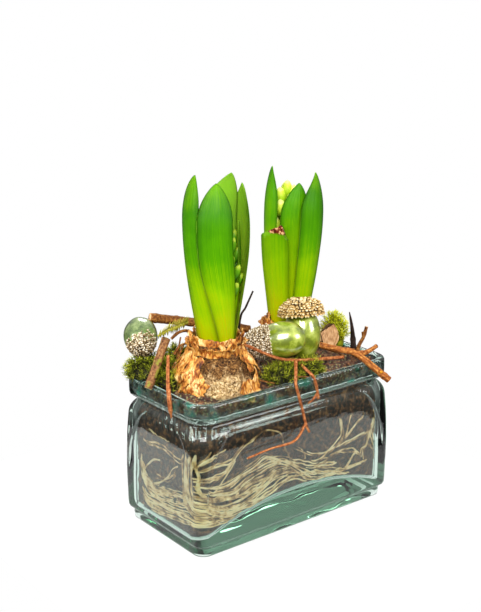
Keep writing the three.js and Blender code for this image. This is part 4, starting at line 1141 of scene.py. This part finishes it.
def make_spike(side):
    spike, plant = SPIKES[side], PLANTS[side]
    foot = plant["neck"] - NECK_HOLE_DEPTH + GAP
    head_foot, top = spike["head_foot"], spike["top"]

    def on_axis(z):
        return round_plant(plant, spike["offset"], spike["turn"], z)

    bm = bmesh.new()
    stem = [round_plant(plant, 0, 0, foot), on_axis(head_foot), on_axis(top - 6)]
    tube(bm, stem, lambda t, a: 3.8 - 1.2 * t, sides=16, steps=20)
    bud = template(floret)
    buds = 34
    draw = random.Random(plant["seed"] + 4)
    for n in range(buds):
        share = n / (buds - 1)
        tilt = math.radians(lerp(34, 3, share ** 1.2))
        around = GOLDEN * n
        out = Vector((math.cos(around), math.sin(around), 0))
        direction = out * math.sin(tilt) + Vector((0, 0, math.cos(tilt)))
        stand_off = lerp(spike["bud"] * 1.6, 0.3, share ** 9)
        place = on_axis(lerp(head_foot - 3, top - 11.5, share)) + out * stand_off
        width = spike["bud"] * draw.uniform(0.9, 1.08) * lerp(1, 0.85, share)
        stamp(bm, bud, placed(place, towards(direction, draw.uniform(0, TAU)), (width, width, 12.5)))
    colour = GREEN_BUD if side == "front" else PALE_BUD
    piece(bm, "flower_spike_" + side, colour, "flower_buds", "spike_" + side)


make_spike("front")
make_spike("back")

# ------------------------------------------------------------------ acorns


def make_nut(side, acorn):
    rotation = towards(acorn["axis"])
    bm = bmesh.new()

    def place(u, v):
        angle = -math.pi / 2 + math.pi * v
        wide = max(0, math.cos(angle)) ** 0.85 if 0 < v < 1 else 0
        lobes = 1 + 0.022 * math.cos(5 * TAU * u) * smoothstep(v, 0.3, 0.9)
        reach = acorn["radius"] * wide * lobes
        rise = acorn["half"] * math.sin(angle)
        if v > 0.9:
            rise -= 0.54 * smoothstep(v, 0.9, 0.97) * (1 - smoothstep(v, 0.985, 1))
        return Vector(acorn["centre"]) + rotation @ Vector((
            reach * math.cos(TAU * u), reach * math.sin(TAU * u), rise))

    sheet(bm, 60, 44, place, closed=True)
    piece(bm, "lacquered_nut_" + side, DEEP_PEARL if side == "left" else PEARL, "acorn_nut", "acorn_" + side)


def cup_scale(bm):
    """One scale of a cup, of unit length along X from its root to its free tip, standing up in Z."""
    def place(u, v):
        around = math.sin(math.pi * min(0.999, 0.14 + 0.86 * v)) ** 0.7 if 0 < v < 1 else 0
        swell = 0.24 * around * (0.6 + v)
        return Vector((v - 0.4, 0.44 * around * math.cos(TAU * u), swell * math.sin(TAU * u) + 0.36 * v))
    sheet(bm, 8, 5, place, closed=True)


def make_cup(side, acorn):
    rotation = towards(acorn["axis"])
    centre = Vector(acorn["centre"])
    bm = bmesh.new()

    def profile(share):
        dome = math.sin(math.pi / 2 * lerp(0.16, 1, share)) ** 0.8
        return acorn["cap_radius"] * dome, lerp(-acorn["cap"], acorn["rim"], share ** 1.35)

    def place(u, v):
        # The outside up to the rim, and back down inside.
        if v in (0, 1):
            reach, z = 0, -acorn["cap"] if v < 0.5 else acorn["rim"] - 4
        elif v <= 0.6:
            reach, z = profile(v / 0.6)
            reach -= 0.6
        else:
            inner = (v - 0.6) / 0.4
            reach = profile(1 - 0.5 * inner)[0] - 2.2
            z = lerp(acorn["rim"] - 0.3, acorn["rim"] - 4, inner)
        return centre + rotation @ Vector((reach * math.cos(TAU * u), reach * math.sin(TAU * u), z))

    # the cup's body under its scales takes the darkest colour: painted shade between the scales
    sheet(bm, 48, 30, place, mark=lambda u, v: (u, -0.3), closed=True)
    scale = template(cup_scale)
    draw = random.Random(len(side))
    size = acorn["scale"]
    outline = [Vector((0, 0, -acorn["cap"]))]
    outline += [Vector((profile(i / 60)[0], 0, profile(i / 60)[1])) for i in range(61)]
    rows = round(sum((b - a).length for a, b in zip(outline, outline[1:])) / (size * 0.66))
    path = smooth_path(outline, rows)
    for row, spot in enumerate(path):
        along = (path[min(row + 1, rows)] - path[max(row - 1, 0)]).normalized()
        out = Vector((-along.z, 0, along.x))
        out = out if out.x > 0 or out.z < 0 else -out
        axes = Matrix((along, out.cross(along), out)).transposed().to_quaternion()
        count = max(3, round(TAU * spot.x / (size * 0.82)))
        for n in range(count):
            angle = TAU * (n + 0.5 * (row % 2)) / count + draw.uniform(-0.1, 0.1) * size / max(size, spot.x)
            around = Quaternion((0, 0, 1), angle)
            askew = Quaternion((0, 0, 1), draw.uniform(-0.5, 0.5))
            askew = askew @ Quaternion((0, 1, 0), draw.uniform(-0.3, 0.4))
            grow = size * draw.uniform(0.7, 1.25)
            sink = -out * (0.5 + draw.uniform(-0.2, 0.35))
            shape = (grow * 1.15, grow, grow * draw.uniform(0.8, 1.2))
            on_cup = placed(around @ (spot + sink), around @ axes @ askew, shape)
            stamp(bm, scale, placed(centre, rotation) @ on_cup)
    colour = BEIGE_SCALES if side == "right" else GREY_SCALES
    piece(bm, "acorn_cup_" + side, colour, "acorn_cap", "cap_" + side)


for acorn_side, nut in ACORNS.items():
    make_nut(acorn_side, nut)
    make_cup(acorn_side, nut)

# ------------------------------------------------------------------ twigs


def limb(bm, points, radii, seed, sides=12):
    """A stretch of twig, with knots along it and furrows in its bark."""
    length = sum((Vector(b) - Vector(a)).length for a, b in zip(points, points[1:]))
    steps = max(12, round(length / 1.1))

    def radius_at(t, angle):
        base = lerp(*radii, t)
        swell = 1 + 0.12 * max(0, math.sin(seed + t * length * 0.42)) ** 6
        spot = Vector((2.2 * math.cos(angle), 2.2 * math.sin(angle), seed + t * length * 0.15))
        bark_line = 0.06 * noise.noise(spot)
        lump = 0.10 * noise.noise(Vector((seed, 1.3 * math.cos(angle), t * length * 0.35)))
        return base * (swell + bark_line + lump)

    tube(bm, points, radius_at, sides=sides, steps=steps)


# Each twig: its bark, its slot, and its stems as points and the radii at both ends.
TWIGS = {
    "twig_left_thick": (LICHEN_BARK, "twig", [
        ([(-84.2, 5.2, 100.3), (-76.8, 7, 113), (-66, 11.6, 127.4)], (2.6, 2.7))]),
    "twig_left_thin": (RED_BARK, "twig", [
        ([(-82, -16.4, 87), (-81.9, -15.4, 92)], (0.3, 1.5)),
        ([(-81.9, -15.4, 91.8), (-81.7, -13.9, 99), (-79, -8.9, 107.4), (-73, -0.7, 121)], (1.5, 0.9))]),
    "twig_back": (BROWN_BARK, "twig", [
        ([(-61.1, 37.1, 134.4), (-28, 27.5, 127), (5, 17.5, 119)], (3, 2.8))]),
    "twig_black_bent": (DARK_BARK, "dark_twig", [
        ([(-14, 8, 100), (-11.3, 6.6, 131), (-7.4, 5.6, 139), (-2.4, 4.3, 149.4)], (0.9, 0.6))]),
    "twig_red": (RED_BARK, "twig", [
        ([(-28.2, -19.4, 124), (-9.4, -28, 113.8), (5.3, -30, 109.6), (24, -31.5, 107), (43, -34.2, 105)],
         (0.9, 1.1)),
        ([(5.3, -30, 109.6), (-4.6, -41.6, 105.6), (-7.4, -45.2, 99.8), (-2.5, -44.9, 85.3), (2, -44.8, 70.7),
          (4.7, -44.9, 65.4)], (1.1, 0.8)),
        ([(1.2, -44.9, 71.6), (-8, -45.2, 62.6), (-27.6, -44.9, 62.2), (-45.8, -44.9, 60.6)], (0.9, 0.6))]),
    "twig_red_short": (RED_BARK, "twig", [
        ([(6.6, -34, 107.2), (5.2, -39.6, 106.2), (8.2, -43.8, 101.4), (11.2, -43.8, 93.8),
          (12.7, -43.8, 86)], (1, 0.9)),
        ([(12, -43.8, 90), (8, -44, 86.4), (4, -44, 84.6)], (0.9, 0.5))]),
    "twig_forked": (ORANGE_BARK, "twig", [
        ([(30.7, -24.1, 113.4), (41, -32.2, 110.2), (51, -39, 106.5), (66, -54, 89.6)], (1.9, 2.4)),
        ([(50.5, -38.8, 106.8), (60, -39, 106.6), (69.6, -37.8, 108.4)], (2.0, 1.3))]),
    "twig_pointed": (DARK_BARK, "dark_twig", [
        ([(70.5, -15, 96), (70, -15, 106), (68.4, -15, 117), (65.8, -15, 127.5)], (2.6, 0.4))]),
    "twig_small_fork": (BROWN_BARK, "twig", [
        ([(66, -22.5, 96), (67.6, -23, 105), (70.6, -24.2, 111), (72.6, -25, 118.4)], (1.5, 1.1)),
        ([(70.6, -24.2, 111), (72.4, -21.4, 113.6)], (1.1, 0.7))]),
}

# Loose bits among the dressing, too small to be parts of their own.
TWIG_BITS = [
    ([(-61, 13, 126), (-56, 13, 129), (-50, 13, 129.4), (-45.5, 13, 127)], (0.9, 1.1)),
    ([(-62, 9, 117), (-57.5, 9, 121.5), (-52, 9, 122.4)], (1.0, 0.7)),
    ([(-66, 7, 108), (-60.5, 7, 114.5), (-56.5, 7, 122)], (0.8, 0.6)),
    ([(-63, 6, 112.5), (-57.5, 6.5, 112), (-53, 7, 115)], (0.7, 0.5)),
    ([(-59.5, 10, 109), (-58.4, 10, 117), (-56, 10, 127)], (0.7, 0.45)),
    ([(-66.5, 4, 104.5), (-62, 2, 108.5), (-58.5, 0, 110)], (0.8, 0.6)),
    ([(-49.5, 12, 116), (-48.8, 12, 121), (-48, 12, 127)], (0.8, 0.5)),
    ([(-57, 9, 112), (-53, 9, 118), (-51, 9, 122)], (0.6, 0.5)),
    ([(41, -14, 107), (44, -24, 106), (45.7, -33, 105)], (0.6, 0.5)),
    ([(-8, -44.6, 105.2), (-2, -44.9, 104.2), (3.6, -44.6, 102.7)], (0.4, 0.35)),
    ([(20, -24, 106.4), (30, -29, 105.6), (37, -29.5, 105)], (0.45, 0.35)),
    ([(57, -28, 102), (64, -31, 102), (72, -30, 101.5)], (0.5, 0.4)),
    ([(50, -16, 104.6), (58, -20, 103.6), (66, -21, 102.8)], (0.7, 0.5)),
    ([(-26, -27, 103), (-21, -33, 101.5), (-17, -36, 100.5)], (0.5, 0.3)),
]


def make_twigs():
    for seed, (name, (bark_material, slot, stems)) in enumerate(TWIGS.items()):
        bm = bmesh.new()
        for points, radii in stems:
            limb(bm, points, radii, seed * 3.1)
        piece(bm, name.replace("twig", "stick"), bark_material, slot, name)


def make_twig_bits():
    bm = bmesh.new()
    for seed, (points, radii) in enumerate(TWIG_BITS):
        limb(bm, points, radii, seed * 1.7, sides=8)
    piece(bm, "twig_bits", BROWN_BARK, "twig")


def make_bud_scar():
    """A lumpy yellow scar on the forked twig."""
    bm = bmesh.new()
    at_scar = placed((61, -51.4, 95.6), scale=(1, 1, 0.8))
    bmesh.ops.create_icosphere(bm, subdivisions=3, radius=1.2, matrix=at_scar)
    for vert in bm.verts:
        vert.co += Vector((1, 1, 1)) * rough(vert.co, 0.8, 0.2)
    piece(bm, "bud_scar", SCAR, "twig")


make_twigs()
make_twig_bits()
make_bud_scar()

# ------------------------------------------------------------------ dry leaf


def make_dry_leaf():
    centre = Vector((56.5, -6, 109.3))
    turn = Matrix.Rotation(math.radians(-52), 3, "Z") @ Matrix.Rotation(math.radians(62), 3, "X")

    def place(u, v):
        outer = u <= 0.5
        across = 4 * u - 1 if outer else 3 - 4 * u
        wide = 6.6 * math.sin(math.pi * lerp(0.12, 0.9, v)) * (1 + 0.06 * noise.noise(Vector((9 * v, 3, 0))))
        lift = 1.2 * across ** 2 + 0.8 * math.sin(3 * v) + 0.35 * noise.noise(Vector((2 * across, 5 * v, 0)))
        thick = 0.25 * (1 if outer else -1)
        return centre + turn @ Vector((across * wide, (2 * v - 1) * 9.2, lift + thick))

    bm = bmesh.new()
    sheet(bm, 32, 24, place, lambda u, v: (2 * u if u <= 0.5 else 2 - 2 * u, v), closed=True)
    bmesh.ops.holes_fill(bm, edges=bm.edges[:], sides=0)
    piece(bm, "dry_leaf_piece", DRY, "dry_leaf", "dry_leaf")


make_dry_leaf()

# ------------------------------------------------------------------ moss

RIM_INSET = 5.8  # moss below the rim stays this far inside the vase's outline

# Each cushion: its centre and its half sizes.
MOSS_CUSHIONS = {
    "moss_left": [((-72.5, 24.5, 100), (13.5, 14.5, 12.5)), ((-52, 18.5, 103), (9, 9.5, 13)),
                  ((-63.5, 10.5, 100), (8.5, 8.5, 12)), ((-71, 2, 99.5), (6, 8, 7))],
    "moss_front": [((-7, -29.5, 99), (11, 7.5, 8.5)), ((13, -30.5, 98.5), (14, 6.6, 8))],
    "moss_right": [((69, 3, 106), (7, 8, 15))],
    "moss_back": [((-6, 29, 99), (21, 7.5, 8)), ((60, 27, 98), (12, 8, 9))],
}


def moss_shoot(bm):
    """A star-like shoot of unit height, with needles round its stem."""
    def needle(foot, direction, length, thick):
        turn = towards(direction)
        bmesh.ops.create_cone(bm, cap_ends=True, segments=3, radius1=thick, radius2=0, depth=length,
                              matrix=placed(foot + turn @ Vector((0, 0, length / 2)), turn))

    needle(Vector((0, 0, 0)), Vector((0, 0, 1)), 1.0, 0.035)
    for n in range(9):
        around = GOLDEN * n
        rise = 0.35 + 0.11 * n
        direction = Vector((math.cos(around), math.sin(around), rise))
        needle(Vector((0, 0, 0.12 + 0.075 * n)), direction, 0.6 - 0.03 * n, 0.04)
    uv = bm.loops.layers.uv.verify()
    for face in bm.faces:
        for loop in face.loops:
            loop[uv].uv = (0, loop.vert.co.z)


def inside_vase(spot):
    """Whether a shoot here would stand in the glass, or under the soil."""
    near_wall = abs(spot.x) > HALF_LENGTH - 6 or abs(spot.y) > HALF_WIDTH - 6
    return spot.z < soil_top(spot.x, spot.y) - 1 or (near_wall and spot.z < VASE_HEIGHT + 1.5)


def make_moss(name, cushions, material):
    draw = random.Random(len(name) * 5 + 1)
    shoot = template(moss_shoot)
    bm = bmesh.new()
    for centre, half in cushions:
        centre, half = Vector(centre), Vector(half)
        ball = bmesh.ops.create_icosphere(bm, subdivisions=4, radius=0.88)["verts"]
        uv = bm.loops.layers.uv.verify()
        # the cushion under the shoots takes the darkest colour: painted shade among them
        for vert in ball:
            for loop in vert.link_loops:
                loop[uv].uv = (0, 0)
            spot = Vector(vert.co[i] * half[i] for i in range(3)) + centre
            spot += vert.co * (rough(spot, 4, 1.6) + rough(spot, 1.5, 0.8))
            if spot.z < VASE_HEIGHT + 1:
                spot.x = min(HALF_LENGTH - RIM_INSET, max(RIM_INSET - HALF_LENGTH, spot.x))
                spot.y = min(HALF_WIDTH - RIM_INSET, max(RIM_INSET - HALF_WIDTH, spot.y))
            vert.co = spot
        count = round((half.x + half.y) * half.z * 0.7)
        for n in range(count):
            rise = lerp(-0.05, 1, (n + 0.5) / count)
            level = math.sqrt(max(0, 1 - rise ** 2))
            around = GOLDEN * n + draw.uniform(-0.2, 0.2)
            out = Vector((level * math.cos(around), level * math.sin(around), rise))
            spot = centre + Vector(out[i] * half[i] for i in range(3)) * 0.84
            lean = out + Vector((draw.uniform(-0.6, 0.6), draw.uniform(-0.6, 0.6), draw.uniform(0, 0.6)))
            tall = draw.choice((4.0, 5.0, 6.0, 7.0, 8.0))
            if not inside_vase(spot):
                stamp(bm, shoot, placed(spot, towards(lean, draw.uniform(0, TAU)), (tall, tall, tall)))
    piece(bm, name.replace("moss", "moss_cushion"), material, "moss", name)


def make_frond():
    """A small fern frond lying over the dressing on the left: a stem with pointed leaflets on both sides."""
    pairs = 26
    stem = smooth_path([(-70.5, 14, 129.5), (-64, 14.5, 131.6), (-57.5, 15, 132.6), (-51.5, 15, 133.6),
                        (-46.5, 16, 134.2)], pairs)
    bm = bmesh.new()
    tube(bm, stem, lambda t, a: 0.55 - 0.3 * t, sides=6, smooth=False)
    leaflet = template(lambda bm: bmesh.ops.create_cone(
        bm, cap_ends=True, segments=5, radius1=1, radius2=0.15, depth=1, matrix=placed((0, 0, 0.5))))
    draw = random.Random(3)
    for n, spot in enumerate(stem[1:]):
        for side in (-1, 1):
            direction = Vector((0.25 + draw.uniform(-0.2, 0.2), -0.35 * side, side + 0.3))
            length = draw.uniform(4.4, 6.4) * (0.6 + 0.4 * math.sin(math.pi * n / pairs))
            stamp(bm, leaflet, placed(spot, towards(direction), (0.8, 0.3, length)))
    piece(bm, "fern_frond", FERN, "moss")


make_frond()

for moss_name, mounds in MOSS_CUSHIONS.items():
    make_moss(moss_name, mounds, LIME_MOSS if moss_name == "moss_right" else MOSS)
